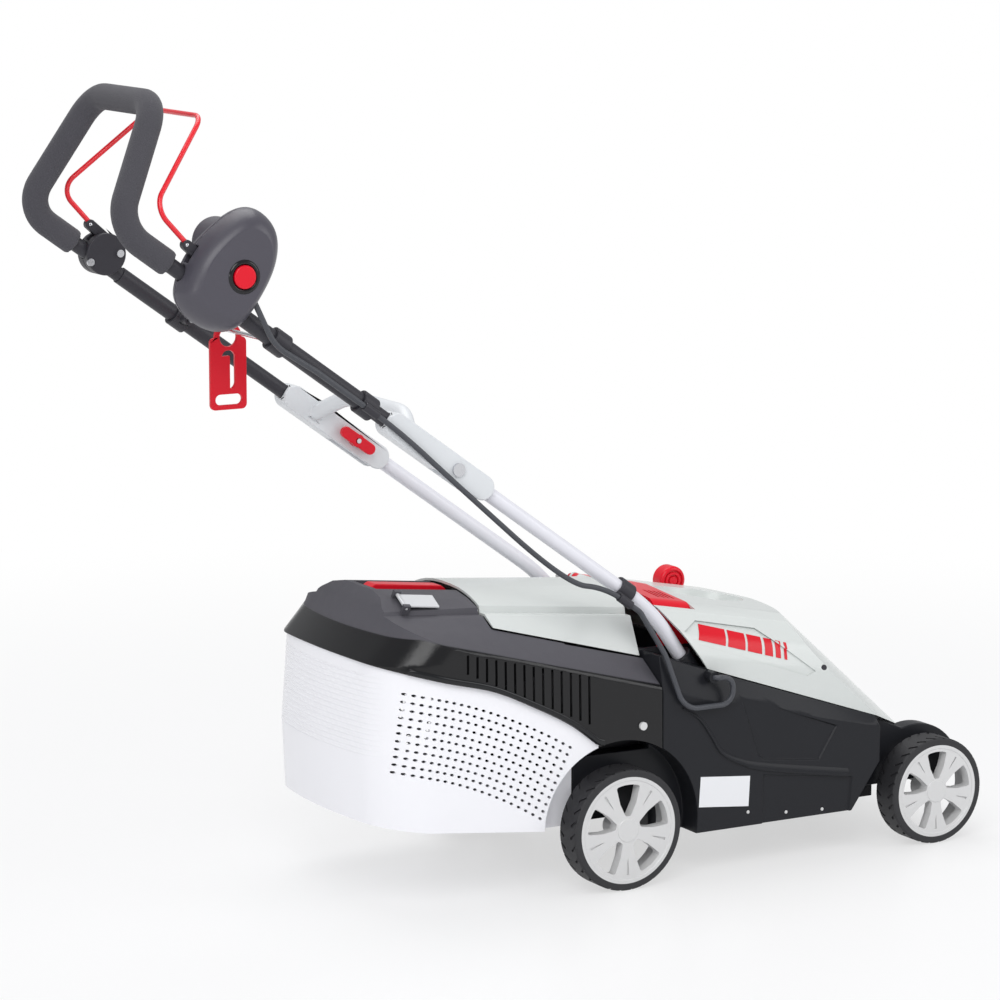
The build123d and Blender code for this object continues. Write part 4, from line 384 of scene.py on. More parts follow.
DECK_BLACK = Moulded("deck_black", tint(33, 34, 38), 0.34, 0.05, 0.00012, 0.2)
SOFT_BLACK = Moulded("soft_black", tint(50, 49, 55), 0.44, 0.06, 0.00016, 0.35)
SWITCH_BLACK = Moulded("switch_black", tint(72, 70, 79), 0.36, 0.05, 0.00012)
POLISHED_BLACK = Moulded("polished_black", tint(20, 21, 24), 0.14, 0.05, 0.00002, 0.4)
LID = LidPlastic("lid_plastic", tint(80, 79, 85), 0.6, 0.05, 0.00016, 0.35)
PALE = Moulded("pale_hood", tint(208, 212, 210), 0.26, 0.02, 0.00003)
CASING = Moulded("pale_casing", tint(216, 219, 222), 0.36, 0.02, 0.00004)
FRONT_GREY = Moulded("front_grey", tint(198, 199, 202), 0.36, 0.03, 0.00004)
TUB = Moulded("tub_white", tint(242, 242, 246), 0.24, 0.012, 0.00003)
RIM_GREY = Moulded("rim_grey", tint(210, 210, 210), 0.36, 0.02, 0.00005)
RED = Moulded("moulded_red", tint(218, 14, 38), 0.3, 0.05, 0.00006, 0.35)
RED_COAT = Painted("red_coat", tint(226, 16, 36), 0.3, 0.05)
TUBE_PAINT = Painted("tube_paint", tint(226, 226, 233), 0.32, 0.02)
FOAM = Foam("grip_foam", tint(70, 69, 75), 0.95, 0.08)
TYRE = Rubber("tyre_rubber", tint(38, 38, 41), 0.62, 0.12)
JACKET = Rubber("cable_jacket", tint(62, 64, 70), 0.44, 0.06)
STEEL = Metal("plated_steel", tint(205, 206, 210), 0.26, 0.05)
IRON = Metal("motor_iron", tint(120, 122, 126), 0.42, 0.1)
SILVER = Moulded("indicator_silver", tint(206, 207, 210), 0.34, 0.04, 0.00006)
INK = Moulded("stripe_red", tint(212, 16, 36), 0.3, 0.04, 0.00003, 0.3)
PAPER = Moulded("label_white", tint(232, 233, 236), 0.4, 0.02, 0.00002)


class Skin:
    """A CAD node's surface, for setting trim down on it."""

    def __init__(self, node: str) -> None:
        """Hold the node's faces.

        Args:
            node: The node's name.
        """
        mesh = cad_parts[node].data
        self.tree = BVHTree.FromPolygons([v.co for v in mesh.vertices], [p.vertices for p in mesh.polygons])

    def touch(self, start: Vector, way: Vector, off: float = 0.0) -> Vector:
        """Find where a line first meets the surface, and stand off it.

        Args:
            start: Where the line starts.
            way: The way that it goes.
            off: Millimetres to stand off along the surface's normal.

        Returns:
            The point, or the nearest one where the line meets nothing.
        """
        point, normal = self.tree.ray_cast(start, way)[:2]
        if point is None:
            point, normal = self.tree.find_nearest(start)[:2]
        if normal.dot(way) > 0:
            normal = -normal
        return point + normal * off * MM


def smoothed(points: tuple[Spot, ...], steps: int) -> list[Spot]:
    """Round a line of points off with a curve that passes through each of them.

    Args:
        points: The points.
        steps: Steps between one point and the next.

    Returns:
        The curve's points.
    """
    line = [Vector(point) for point in points]
    line = [2 * line[0] - line[1], *line, 2 * line[-1] - line[-2]]
    curve = []
    for before, first, last, after in zip(line, line[1:], line[2:], line[3:]):
        for step in range(steps):
            share = step / steps
            bend = 2 * before - 5 * first + 4 * last - after
            swing = 3 * first - before - 3 * last + after
            spot = 2 * first + (last - before) * share + bend * share**2 + swing * share**3
            curve.append(tuple(spot / 2))
    curve.append(tuple(line[-2]))
    return curve


def add_turned(shape: bmesh.types.BMesh, seat: Vector, way: Vector, profile: tuple[Spot, ...]) -> None:
    """Add a turned form that stands on a seat.

    Args:
        shape: The mesh under construction.
        seat: The point that the form's middle line passes through.
        way: The way that it stands.
        profile: Radius and height of each ring in millimetres, from its foot; a ring of no radius closes it.
    """
    turn = way.to_track_quat("Z", "Y")
    rings = []
    around = 24
    for radius, height in profile:
        ring = []
        for step in range(around if radius else 1):
            angle = 2 * math.pi * step / around
            spot = Vector((radius * math.cos(angle), radius * math.sin(angle), height)) * MM
            ring.append(shape.verts.new(seat + turn @ spot))
        rings.append(ring)
    for low, high in zip(rings, rings[1:]):
        for step in range(around):
            after = (step + 1) % around
            if len(high) == 1:
                shape.faces.new((low[step], low[after], high[0]))
            else:
                shape.faces.new((low[step], low[after], high[after], high[step]))


def dome(radius: float, rise: float) -> tuple[Spot, ...]:
    """Give the profile of a low dome with a sunk foot.

    Args:
        radius: Its radius in millimetres.
        rise: Its height in millimetres.

    Returns:
        The dome's rings.
    """
    rings = [(radius, -0.4 * radius)]
    for step in range(5):
        turn = math.pi / 2 * step / 5
        rings.append((radius * math.cos(turn), rise * math.sin(turn)))
    return (*rings, (0.0, rise))


def finished(shape: bmesh.types.BMesh, name: str) -> bpy.types.Mesh:
    """Close a mesh under construction and shade it smooth."""
    mesh = bpy.data.meshes.new(name)
    shape.to_mesh(mesh)
    shape.free()
    mesh.shade_smooth()
    return mesh


class Assembly:
    """A group of the mower's pieces that are dressed together."""

    def dress(self, finish: Finish, *nodes: str) -> None:
        """Give CAD nodes a finish.

        Args:
            finish: The finish.
            nodes: The nodes' names.
        """
        for name in nodes:
            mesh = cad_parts[name].data
            mesh.materials.clear()
            mesh.materials.append(finish.material())
            LOG.info("dressed %s in %s", name, finish.name)

    def ease(self, width: float, *nodes: str) -> None:
        """Ease the sharp edges of CAD nodes with modifiers.

        Args:
            width: Millimetres that the edges are rounded by.
            nodes: The nodes' names.
        """
        for name in nodes:
            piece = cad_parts[name]
            weld = piece.modifiers.new("weld", "WELD")
            weld.merge_threshold = WELD
            flat = piece.modifiers.new("flat", "DECIMATE")
            flat.decimate_type = "DISSOLVE"
            flat.angle_limit = FLAT_ANGLE
            edge = piece.modifiers.new("edge", "BEVEL")
            edge.width = width * MM
            edge.segments = 2
            edge.limit_method = "ANGLE"
            edge.angle_limit = EDGE_ANGLE
            edge.use_clamp_overlap = False
            shade = piece.modifiers.new("shade", "WEIGHTED_NORMAL")
            shade.weight = FACE_WEIGHT

    def crease(self, *nodes: str) -> None:
        """Shade CAD nodes by the size of their faces, with their edges left as they are.

        Args:
            nodes: The nodes' names.
        """
        for name in nodes:
            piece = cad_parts[name]
            weld = piece.modifiers.new("weld", "WELD")
            weld.merge_threshold = WELD
            split = piece.modifiers.new("split", "EDGE_SPLIT")
            split.split_angle = SPLIT_ANGLE
            shade = piece.modifiers.new("shade", "WEIGHTED_NORMAL")
            shade.weight = FACE_WEIGHT

    def piece(
        self, mesh: bpy.types.Mesh, name: str, body: str, finish: Finish, slot: Slot
    ) -> bpy.types.Object:
        """Put a finished mesh in the scene on a body.

        Args:
            mesh: The mesh, in place in the frame.
            name: The piece's name.
            body: The CAD body that carries it, or nothing where it spans two.
            finish: Its finish.
            slot: The record's slot for it; not used.

        Returns:
            The piece.
        """
        made = bpy.data.objects.new(name, mesh)
        bpy.context.scene.collection.objects.link(made)
        mesh.materials.clear()
        mesh.materials.append(finish.material())
        if body:
            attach(made, body)
        LOG.info("made %s on %s", name, body or "two bodies")
        return made

    def sheet_mesh(self, name: str, grid: list[list[Vector]]) -> bpy.types.Mesh:
        """Make a mesh from rows of points.

        Args:
            name: The mesh's name.
            grid: Rows of points, all as long.

        Returns:
            The mesh, smooth.
        """
        wide = len(grid[0])
        points = [point for row in grid for point in row]
        faces = []
        for row in range(len(grid) - 1):
            for column in range(wide - 1):
                first = row * wide + column
                faces.append((first, first + 1, first + wide + 1, first + wide))
        mesh = bpy.data.meshes.new(name)
        mesh.from_pydata(points, [], faces)
        mesh.shade_smooth()
        return mesh


@dataclass
class Studio:
    """A pale floor, soft lights and the photograph's camera."""

    eye: Vector = at(-2391.6, -4087.0, 1263.3)
    aim: Vector = at(-72.54, 0.0, 458.33)
    lens: float = 140.318
    floor_half: float = 30.0

    def build(self) -> None:
        """Build the floor, the world, the lights and the camera."""
        self.lay_floor()
        self.light_world()
        self.hang_lamp("key", Vector((-2.1, -2.9, 3.4)), 2.6, 95.0)
        self.hang_lamp("fill", Vector((2.7, -2.4, 1.9)), 2.2, 34.0)
        self.hang_lamp("top", Vector((0.2, 1.2, 3.2)), 2.4, 48.0)
        self.hang_lamp("streak", Vector((-3.0, -1.7, 1.0)), 0.5, 8.0)
        self.set_camera()

    def lay_floor(self) -> None:
        """Lay a wide white floor that keeps the mower's shadow."""
        mesh = bpy.data.meshes.new("floor")
        half = self.floor_half
        corners = [(-half, -half, 0), (half, -half, 0), (half, half, 0), (-half, half, 0)]
        mesh.from_pydata(corners, [], [(0, 1, 2, 3)])
        floor = bpy.data.objects.new("floor", mesh)
        bpy.context.scene.collection.objects.link(floor)
        shader = Shader("studio_floor")
        shader.constant(Base_Color=(0.86, 0.86, 0.87, 1.0), Roughness=0.38)
        shader.bump(shader.noise(60.0, 2.0), 0.0004, 0.03)
        glow = shader.node("ShaderNodeEmission", Color=(1.0, 1.0, 1.0, 1.0), Strength=1.0)
        paths = shader.node("ShaderNodeLightPath").outputs
        seen = shader.math("MAXIMUM", paths["Is Camera Ray"], paths["Is Transmission Ray"])
        seen = shader.math("MAXIMUM", seen, paths["Is Glossy Ray"])
        mix = shader.tree.nodes.new("ShaderNodeMixShader")
        far = shader.node("ShaderNodeVectorMath", Vector=shader.place)
        far.operation = "LENGTH"
        glow_share = shader.spread(far.outputs["Value"], (0.8, 2.3), (0.6, 1.0))
        shader.feed(mix.inputs[0], shader.math("MULTIPLY", seen, glow_share))
        shader.feed(mix.inputs[1], shader.surface.outputs["BSDF"])
        shader.feed(mix.inputs[2], glow.outputs["Emission"])
        shader.feed(shader.tree.nodes["Material Output"].inputs["Surface"], mix.outputs["Shader"])
        mesh.materials.append(shader.material)

    def light_world(self) -> None:
        """Light the mower softly from all round, before a white background."""
        world = bpy.data.worlds.new("studio")
        bpy.context.scene.world = world
        world.use_nodes = True
        tree = world.node_tree
        ambient = tree.nodes["Background"]
        ambient.inputs["Color"].default_value = (0.97, 0.98, 1.0, 1.0)
        ambient.inputs["Strength"].default_value = 0.5
        white = tree.nodes.new("ShaderNodeBackground")
        white.inputs["Color"].default_value = (1.0, 1.0, 1.0, 1.0)
        paths = tree.nodes.new("ShaderNodeLightPath").outputs
        either = tree.nodes.new("ShaderNodeMath")
        either.operation = "MAXIMUM"
        tree.links.new(paths["Is Camera Ray"], either.inputs[0])
        tree.links.new(paths["Is Transmission Ray"], either.inputs[1])
        mix = tree.nodes.new("ShaderNodeMixShader")
        tree.links.new(either.outputs["Value"], mix.inputs[0])
        tree.links.new(ambient.outputs["Background"], mix.inputs[1])
        tree.links.new(white.outputs["Background"], mix.inputs[2])
        tree.links.new(mix.outputs["Shader"], tree.nodes["World Output"].inputs["Surface"])

    def hang_lamp(self, name: str, place: Vector, size: float, power: float) -> None:
        """Hang a soft square lamp that looks at the mower.

        Args:
            name: The lamp's name.
            place: Where it hangs.
            size: Its side in metres.
            power: Its watts.
        """
        lamp = bpy.data.lights.new(name, "AREA")
        lamp.size = size
        lamp.energy = power
        hung = bpy.data.objects.new(name, lamp)
        hung.location = place
        hung.rotation_euler = (LAMP_AIM - place).to_track_quat("-Z", "Y").to_euler()
        bpy.context.scene.collection.objects.link(hung)

    def set_camera(self) -> None:
        """Stand the camera where the photograph was taken from."""
        camera = bpy.data.cameras.new("camera")
        camera.lens = self.lens
        camera.sensor_width = 36.0
        stood = bpy.data.objects.new("camera", camera)
        stood.location = self.eye
        stood.rotation_euler = (self.aim - self.eye).to_track_quat("-Z", "Y").to_euler()
        bpy.context.scene.collection.objects.link(stood)
        bpy.context.scene.camera = stood


@dataclass
class Deck(Assembly):
    """The black cutting deck, its grey front cover and a bare label."""

    label: tuple[Spot, Spot, Spot, Spot] = ((112, 124.7), (184, 117.6), (182, 79.5), (109.5, 86.9))
    label_steps: int = 10
    ledge_top: tuple[Spot, ...] = (
        (86, 215), (110, 200), (128, 178), (144, 155), (169, 142), (209, 131), (330, 110)
    )
    ledge_low: tuple[Spot, ...] = (
        (85, 213), (108, 197), (125, 174), (141, 150), (168, 134), (206, 121), (331, 98)
    )
    ledge_form: tuple[Spot, ...] = ((0.0, -0.1), (0.12, 1.0), (0.7, 2.6), (0.9, 2.4), (1.0, -0.1))
    nubs: tuple[Spot, ...] = ((181.7, 71.9), (239.7, 64.1), (293.6, 61.1))
    nub_r: float = 2.2

    def build(self) -> None:
        """Dress the deck, run its ledges and set the label on its right side."""
        self.dress(DECK_BLACK, "deck", "cable_gland", "axle_straps")
        self.dress(FRONT_GREY, "front_cover")
        self.ease(1.6, "deck")
        self.ease(1.0, "front_cover")
        for side in Side:
            self.run_ledge(side)
            self.set_nubs(side)
        self.set_label()

    def set_label(self) -> None:
        """Lay a bare white label on the deck's right side."""
        skin = Skin("deck")
        steps = self.label_steps
        corners = [Vector((x, z)) for x, z in self.label]
        grid = []
        for down in range(steps + 1):
            row = []
            for along in range(steps + 1):
                top = corners[0].lerp(corners[1], along / steps)
                low = corners[3].lerp(corners[2], along / steps)
                spot = top.lerp(low, down / steps)
                start = at(spot.x, -OUTSIDE, spot.y)
                row.append(skin.touch(start, Vector((0, 1, 0)), 0.4))
            grid.append(row)
        mesh = self.sheet_mesh("bare_label", grid)
        self.piece(mesh, "bare_label", "chassis", PAPER, Slot.WHITE)

    def run_ledge(self, side: Side) -> None:
        """Run the moulded ledge that falls from the rear arch and goes forward along one side.

        Args:
            side: The mower's side.
        """
        skin = Skin("deck")
        way = Vector((0, -side.value, 0))
        grid = []
        for share, stand in self.ledge_form:
            row = []
            for top, low in zip(smoothed(self.ledge_top, 6), smoothed(self.ledge_low, 6)):
                spot = Vector(top).lerp(Vector(low), share)
                row.append(skin.touch(at(spot.x, side.value * OUTSIDE, spot.y), way, stand))
            grid.append(row)
        name = f"deck_ledge_{side.name.lower()}"
        self.piece(self.sheet_mesh(name, grid), name, "chassis", DECK_BLACK, Slot.BLACK)

    def set_nubs(self, side: Side) -> None:
        """Set the row of small domed nubs low on one side.

        Args:
            side: The mower's side.
        """
        skin = Skin("deck")
        way = Vector((0, -side.value, 0))
        shape = bmesh.new()
        for ahead, up in self.nubs:
            seat = skin.touch(at(ahead, side.value * OUTSIDE, up), way)
            add_turned(shape, seat, -way, dome(self.nub_r, 0.6 * self.nub_r))
        name = f"deck_nubs_{side.name.lower()}"
        self.piece(finished(shape, name), name, "chassis", RIM_GREY, Slot.PALE)


@dataclass
class MotorCover(Assembly):
    """The pale hood with its red stripes and red vent cover."""

    stripes: tuple[tuple[float, float], ...] = (
        (0.0, 0.30), (0.327, 0.523), (0.549, 0.712), (0.745, 0.837), (0.869, 0.928), (0.967, 1.0)
    )
    top_edge: tuple[Spot, Spot] = ((129.3, 307.3), (249.9, 273.9))
    low_edge: tuple[Spot, Spot] = ((120.4, 291.0), (248.0, 253.5))
    hole: Spot = (300.8, 238.4)
    hole_r: float = 4.2
    stripe_steps: int = 6
    stripe_lift: float = 0.5

    def build(self) -> None:
        """Dress the hood and lay its stripes on both sides."""
        self.dress(PALE, "motor_cover", "rear_flap")
        self.dress(RED, "vent_cover")
        self.dress(STEEL, "flap_pin")
        self.crease("motor_cover", "rear_flap", "vent_cover")
        for side in Side:
            self.lay_stripes(side)
            self.set_screw(side)

    def lay_stripes(self, side: Side) -> None:
        """Lay the six red stripes on one side panel.

        Args:
            side: The mower's side.
        """
        skin = Skin("motor_cover")
        top = [Vector(spot) for spot in self.top_edge]
        low = [Vector(spot) for spot in self.low_edge]
        way = Vector((0, -side.value, 0))
        steps = self.stripe_steps
        for number, (start, end) in enumerate(self.stripes, 1):
            grid = []
            for down in range(steps + 1):
                row = []
                for along in range(steps + 1):
                    share = start + (end - start) * along / steps
                    spot = top[0].lerp(top[1], share).lerp(low[0].lerp(low[1], share), down / steps)
                    row.append(skin.touch(at(spot.x, side.value * OUTSIDE, spot.y), way, self.stripe_lift))
                grid.append(row)
            name = f"stripe_{side.name.lower()}_{number}"
            self.piece(self.sheet_mesh(name, grid), name, "chassis", INK, Slot.RED)

    def set_screw(self, side: Side) -> None:
        """Set the dark screw that holds the hood down on one side.

        Args:
            side: The mower's side.
        """
        way = Vector((0, -side.value, 0))
        seat = Skin("motor_cover").touch(at(self.hole[0], side.value * OUTSIDE, self.hole[1]), way)
        shape = bmesh.new()
        add_turned(shape, seat, -way, dome(self.hole_r, 0.6))
        name = f"hood_screw_{side.name.lower()}"
        self.piece(finished(shape, name), name, "chassis", SOFT_BLACK, Slot.BLACK)


@dataclass
class GrassBox(Assembly):
    """The grass box: a white tub with rows of holes under a black lid."""

    rows: int = 11
    pitch: float = 10.6
    corners: tuple[Spot, Spot, Spot, Spot] = ((-285, 267), (-69, 181.5), (-297, 173), (-107, 97))
    bow: float = 11.0
    hole: Spot = (6.0, 3.4)
    hole_reach: Spot = (122, 200)
    hole_sides: int = 10
    rim: tuple[Spot, ...] = tuple(
        smoothed(((-420, 318), (-307, 297), (-232, 277), (-176, 262), (-123, 238), (-70, 210), (-30, 180)), 8)
    )
    rib_count: int = 16
    rib_top: float = 284.0
    rib_pitch: float = 6.2
    rib_turn: float = 43.0
    rib_steps: int = 60
    rib_form: tuple[Spot, ...] = ((1.7, -0.2), (0.7, 0.7), (-0.7, 0.7), (-1.7, -0.2))
    flange_middle: float = -150.0
    flange_turn: float = 126.0
    flange_steps: int = 160
    flange_guess: float = 290.0
    flange_form: tuple[Spot, ...] = (
        (-0.5, 7.5), (1.6, 7.0), (2.4, 5.5), (2.4, 0.6), (1.8, -0.4), (-3.0, -0.4)
    )

    def build(self) -> None:
        """Dress the lid, run its lip and cut the tub's holes."""
        self.dress(LID, "box_lid")
        self.dress(RED, "box_grip")
        self.dress(SILVER, "fill_indicator")
        self.dress(RIM_GREY, "side_rivets")
        self.crease("box_lid")
        self.ease(1.2, "box_grip", "fill_indicator")
        self.run_flange()
        self.run_ribs()
        self.cut_tub()

    def rim_z(self, ahead: float) -> float:
        """Give the height of the lid's lower edge so far ahead of the rear axle."""
        for (start, low), (end, high) in zip(self.rim, self.rim[1:]):
            if ahead <= end:
                return low + (high - low) * (ahead - start) / (end - start)
        return self.rim[-1][1]

    def run_ribs(self) -> None:
        """Run the fine level ribs across the tub's back, fading out round its corners."""
        skin = Skin("box_lower")
        shape = bmesh.new()
        for rib in range(self.rib_count):
            rows = []
            for rise, stand in self.rib_form:
                up = self.rib_top - self.rib_pitch * rib + rise
                row = []
                for step in range(self.rib_steps + 1):
                    swing = 2 * step / self.rib_steps - 1
                    turn = math.radians(self.rib_turn * swing)
                    out = Vector((-math.cos(turn), math.sin(turn), 0))
                    fade = min(1.0, 4 * (1 - abs(swing)))
                    met = skin.touch(at(self.flange_middle, 0, up) + out, -out, stand * fade - 0.1)
                    row.append(shape.verts.new(met))
                rows.append(row)
            for low, high in zip(rows, rows[1:]):
                for step in range(self.rib_steps):
                    shape.faces.new((low[step], high[step], high[step + 1], low[step + 1]))
        self.piece(finished(shape, "tub_ribs"), "tub_ribs", "grass_box", TUB, Slot.WHITE)

    def run_flange(self) -> None:
        """Run the lip along the lid's lower edge, from one wheel arch round the back to the other."""
        skin = Skin("box_lid")
        middle = self.flange_middle
        grid = [[] for _ in self.flange_form]
        for step in range(self.flange_steps + 1):
            turn = math.radians(self.flange_turn * (2 * step / self.flange_steps - 1))
            out = Vector((-math.cos(turn), math.sin(turn), 0))
            up = self.flange_guess
            for _ in range(3):
                start = at(middle, 0, up) + out
                met = skin.touch(start, -out)
                up = self.rim_z(met.x / MM - AXLE_X) + 3.0
            for row, (stand, rise) in zip(grid, self.flange_form):
                spot = Vector((met.x, met.y, (up - 3.0 + rise) * MM))
                row.append(spot + out * stand * MM)
        mesh = self.sheet_mesh("lid_flange", grid)
        self.piece(mesh, "lid_flange", "grass_box", POLISHED_BLACK, Slot.GLOSS)

    def hole_spots(self) -> list[tuple[Vector, float]]:
        """Give the middle and slope of each hole, in millimetres ahead of the axle and up."""
        spots = []
        top = [Vector(spot) for spot in self.corners[:2]]
        low = [Vector(spot) for spot in self.corners[2:]]
        for row in range(self.rows):
            share = row / (self.rows - 1)
            first = top[0].lerp(low[0], share)
            last = top[1].lerp(low[1], share)
            count = round((last - first).length / self.pitch)
            for step in range(count + 1):
                run = step / count
                spot = first.lerp(last, run) + Vector((0, 4 * self.bow * run * (1 - run)))
                way = last - first + Vector((0, 4 * self.bow * (1 - 2 * run)))
                spots.append((spot, math.atan2(way.y, way.x)))
        return spots

    def cut_tub(self) -> None:
        """Cut the holes through both of the tub's sides."""
        tub = bpy.data.meshes.new("tub")
        shell = bmesh.new()
        shell.from_mesh(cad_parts["box_lower"].data)
        bmesh.ops.remove_doubles(shell, verts=shell.verts, dist=WELD)
        shell.to_mesh(tub)
        shell.free()
        made = self.piece(tub, "tub", "grass_box", TUB, Slot.WHITE)
        cutter = self.hole_cutter()
        cut = made.modifiers.new("holes", "BOOLEAN")
        cut.operation = "DIFFERENCE"
        cut.solver = "EXACT"
        cut.object = cutter
        bpy.context.view_layer.update()
        holed = bpy.data.meshes.new_from_object(made.evaluated_get(bpy.context.evaluated_depsgraph_get()))
        made.modifiers.clear()
        made.data = holed
        bpy.data.objects.remove(cutter)
        self.smooth(holed, 32.0)
        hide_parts("box_lower")

    def smooth(self, mesh: bpy.types.Mesh, angle: float) -> None:
        """Shade a mesh smooth, apart from edges sharper than an angle in degrees."""
        if "custom_normal" in mesh.attributes:
            mesh.attributes.remove(mesh.attributes["custom_normal"])
        mesh.shade_smooth()
        mesh.set_sharp_from_angle(angle=math.radians(angle))

    def hole_cutter(self) -> bpy.types.Object:
        """Make one mesh of all the oval pins that cut the holes."""
        cutter = bmesh.new()
        around = self.hole_sides
        for spot, slope in self.hole_spots():
            for side in Side:
                ends = []
                for depth in self.hole_reach:
                    ring = []
                    for step in range(around):
                        turn = 2 * math.pi * step / around
                        run = self.hole[0] / 2 * math.cos(turn)
                        rise = self.hole[1] / 2 * math.sin(turn)
                        ahead = spot.x + run * math.cos(slope) - rise * math.sin(slope)
                        up = spot.y + run * math.sin(slope) + rise * math.cos(slope)
                        ring.append(cutter.verts.new(at(ahead, side.value * depth, up)))
                    ends.append(ring)
                for step in range(around):
                    after = (step + 1) % around
                    cutter.faces.new((ends[0][step], ends[0][after], ends[1][after], ends[1][step]))
                cutter.faces.new(ends[0])
                cutter.faces.new(ends[1])
        bmesh.ops.recalc_face_normals(cutter, faces=cutter.faces)
        mesh = bpy.data.meshes.new("holes")
        cutter.to_mesh(mesh)
        cutter.free()
        made = bpy.data.objects.new("holes", mesh)
        bpy.context.scene.collection.objects.link(made)
        return made


@dataclass
class RunningGear(Assembly):
    """The four wheels, their axles and the height lever."""

    corners: tuple[str, ...] = ("rear_left", "rear_right", "front_left", "front_right")

    def build(self) -> None:
        """Dress the wheels and the gear that carries them."""
        for corner in self.corners:
            self.dress(TYRE, f"tyre_{corner}")
            self.dress(RIM_GREY, f"rim_{corner}")
        self.dress(STEEL, "rear_axle", "front_axle", "link_rod")
        self.dress(SOFT_BLACK, "height_lever")
        self.dress(RED, "height_knob")
        self.ease(0.8, "height_knob")


@dataclass
class Motor(Assembly):
    """The motor and its blade, under the hood and deck."""

    def build(self) -> None:
        """Dress the motor and blade."""
        self.dress(IRON, "motor_rotor", "blade")
        self.dress(SOFT_BLACK, "motor_housing", "blade_carrier")
        self.dress(STEEL, "motor_screws", "blade_bolt")


@dataclass
class Handle(Assembly):
    """The folding handle: painted tubes, pale casings, black sleeves and the foam loop."""

    voxel: float = 2.6 * MM

    def build(self) -> None:
        """Dress the tubes and make the foam loop."""
        self.dress(TUBE_PAINT, "lower_tube_left", "lower_tube_right")
        self.dress(SOFT_BLACK, "handle_loop", "tube_sleeves")
        self.dress(CASING, "handle_bridge")
        self.dress(STEEL, "joint_bolts")
        self.dress(RED, "wing_nut_left", "wing_nut_right")
        self.ease(1.6, "handle_bridge")
        self.ease(1.0, "wing_nut_left", "wing_nut_right")
        self.make_foam()

    def make_foam(self) -> None:
        """Make the foam loop with soft, slightly uneven skin and rounded ends."""
        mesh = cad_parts["foam_grip"].data.copy()
        foam = self.piece(mesh, "foam_loop", "upper_handle", FOAM, Slot.FOAM)
        weld = foam.modifiers.new("weld", "WELD")
        weld.merge_threshold = WELD
        remesh = foam.modifiers.new("remesh", "REMESH")
        remesh.mode = "VOXEL"
        remesh.voxel_size = self.voxel
        remesh.use_smooth_shade = True
        relax = foam.modifiers.new("relax", "SMOOTH")
        relax.factor = 0.5
        relax.iterations = 6
        bpy.context.view_layer.update()
        soft = bpy.data.meshes.new_from_object(foam.evaluated_get(bpy.context.evaluated_depsgraph_get()))
        foam.modifiers.clear()
        foam.data = soft
        soft.materials.clear()
        soft.materials.append(FOAM.material())
        soft.shade_smooth()
        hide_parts("foam_grip")


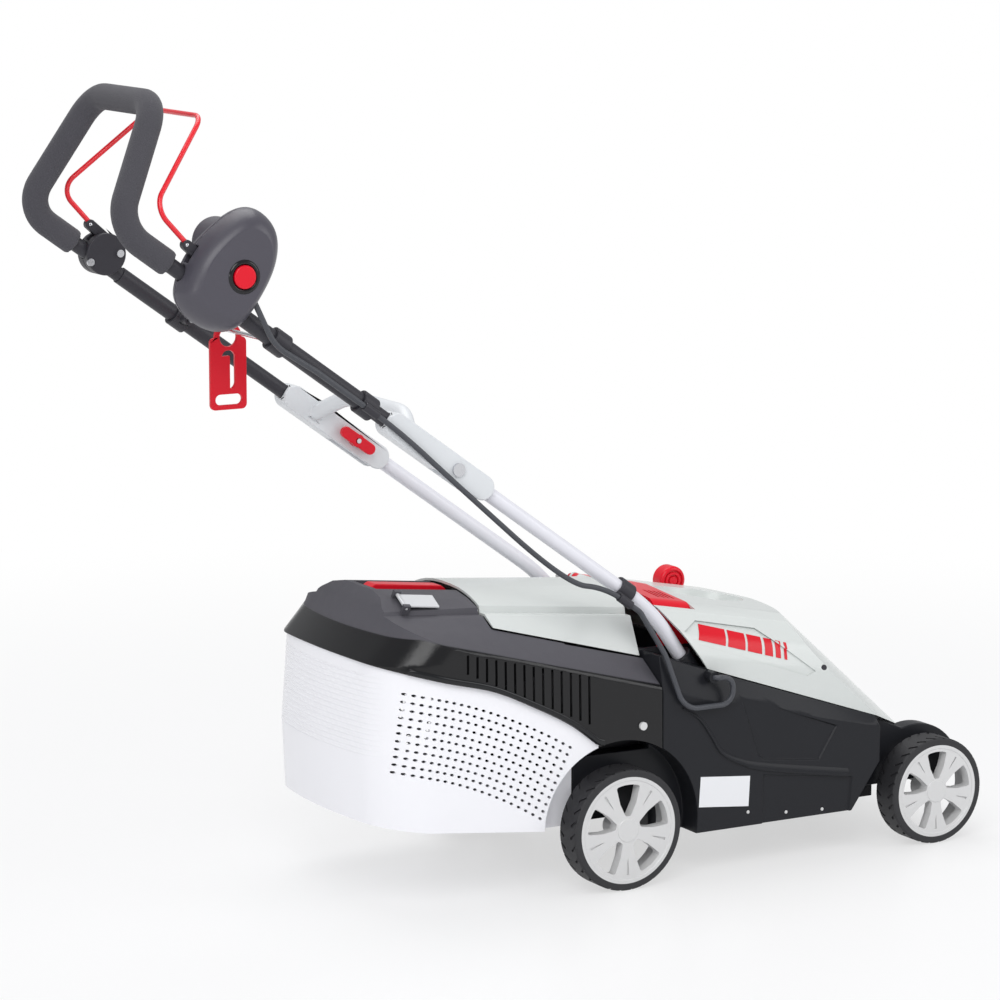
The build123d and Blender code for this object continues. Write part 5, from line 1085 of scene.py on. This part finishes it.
@dataclass
class Controls(Assembly):
    """The switch box, the bail bar, the cord relief and their housings."""

    button: Colour = (-495.0, -164.0, 772.0)
    collar: tuple[Spot, ...] = (
        (14.1, -3.0), (14.2, 0.6), (14.9, 1.5), (16.4, 1.9), (18.2, 1.5), (19.6, 0.2), (20.4, -1.6)
    )
    rivet: Spot = (-553.0, 808.6)
    rivet_r: float = 2.3
    arm_y: float = 134.0
    arm_half: float = 5.0

    def build(self) -> None:
        """Dress the controls."""
        self.dress(
            SOFT_BLACK, "pivot_housing_outer", "pivot_housing_inner", "bail_arms", "rod_clips", "switch_block"
        )
        self.dress(SWITCH_BLACK, "switch_box_outer", "switch_box_inner")
        self.dress(RED_COAT, "bail_wire")
        self.dress(RED, "lock_button", "cord_hook")
        self.dress(STEEL, "inlet_pins", "housing_screws", "relief_rod")
        self.ease(1.6, "switch_box_outer", "switch_box_inner", "pivot_housing_outer", "pivot_housing_inner")
        self.ease(0.9, "lock_button", "cord_hook", "bail_arms", "rod_clips")
        self.set_collar()
        self.set_rivets()

    def set_collar(self) -> None:
        """Set the raised collar round the lock button."""
        shape = bmesh.new()
        add_turned(shape, at(*self.button), Vector((0, -1, 0)), self.collar)
        mesh = finished(shape, "button_collar")
        self.piece(mesh, "button_collar", "upper_handle", POLISHED_BLACK, Slot.BLACK)

    def set_rivets(self) -> None:
        """Set the bright rivets that hold the bail's wire in its arms."""
        shape = bmesh.new()
        ahead, up = self.rivet
        for side in Side:
            for face in (1, -1):
                seat = at(ahead, side.value * (self.arm_y + face * self.arm_half), up)
                add_turned(shape, seat, Vector((0, side.value * face, 0)), dome(self.rivet_r, 0.9))
        self.piece(finished(shape, "bail_rivets"), "bail_rivets", "bail", STEEL, Slot.STEEL)


@dataclass
class Cable(Assembly):
    """The cable from the switch box down the handle to the motor."""

    radius: float = 3.3
    route: tuple[Colour, ...] = (
        (141.0, -151.5, -4.5),
        (97.0, -151.5, -4.5),
        (0.0, -152.5, -16.0),
        (-205.0, -152.5, -37.0),
        (-257.0, -149.0, -12.0),
        (-290.0, -149.0, -12.0),
    )

    def build(self) -> None:
        """Dress the held runs and make the slack run across the fold."""
        self.dress(JACKET, "cable_upper", "cable_lower")
        self.dress(SOFT_BLACK, "cable_clip_upper", "cable_clip_lower")
        self.ease(1.0, "cable_clip_upper", "cable_clip_lower")
        self.make_slack()

    def make_slack(self) -> None:
        """Make the slack run between the two clips, as one curve across the fold."""
        line = bpy.data.curves.new("cable_line", "CURVE")
        line.dimensions = "3D"
        line.bevel_depth = self.radius * MM
        line.bevel_resolution = 4
        line.use_fill_caps = True
        spline = line.splines.new("NURBS")
        spline.points.add(len(self.route) - 1)
        for point, spot in zip(spline.points, self.route):
            point.co = (*on_handle(*spot), 1.0)
        spline.order_u = 3
        spline.use_endpoint_u = True
        spline.resolution_u = 24
        guide = bpy.data.objects.new("cable_line", line)
        bpy.context.scene.collection.objects.link(guide)
        bpy.context.view_layer.update()
        mesh = bpy.data.meshes.new_from_object(guide.evaluated_get(bpy.context.evaluated_depsgraph_get()))
        bpy.data.objects.remove(guide)
        mesh.shade_smooth()
        slack = self.piece(mesh, "slack_cable", "", JACKET, Slot.CABLE)
        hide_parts("cable_slack")
        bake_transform(slack)


def main() -> None:
    """Build the studio and each assembly in order."""
    logging.basicConfig(level=logging.INFO, format="%(message)s")
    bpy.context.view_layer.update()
    bpy.context.scene.view_settings.view_transform = "Standard"
    Studio().build()
    for group in (Deck(), MotorCover(), GrassBox(), RunningGear(), Motor(), Handle(), Controls(), Cable()):
        group.build()
    bpy.context.view_layer.update()


if __name__ == "__main__":
    main()
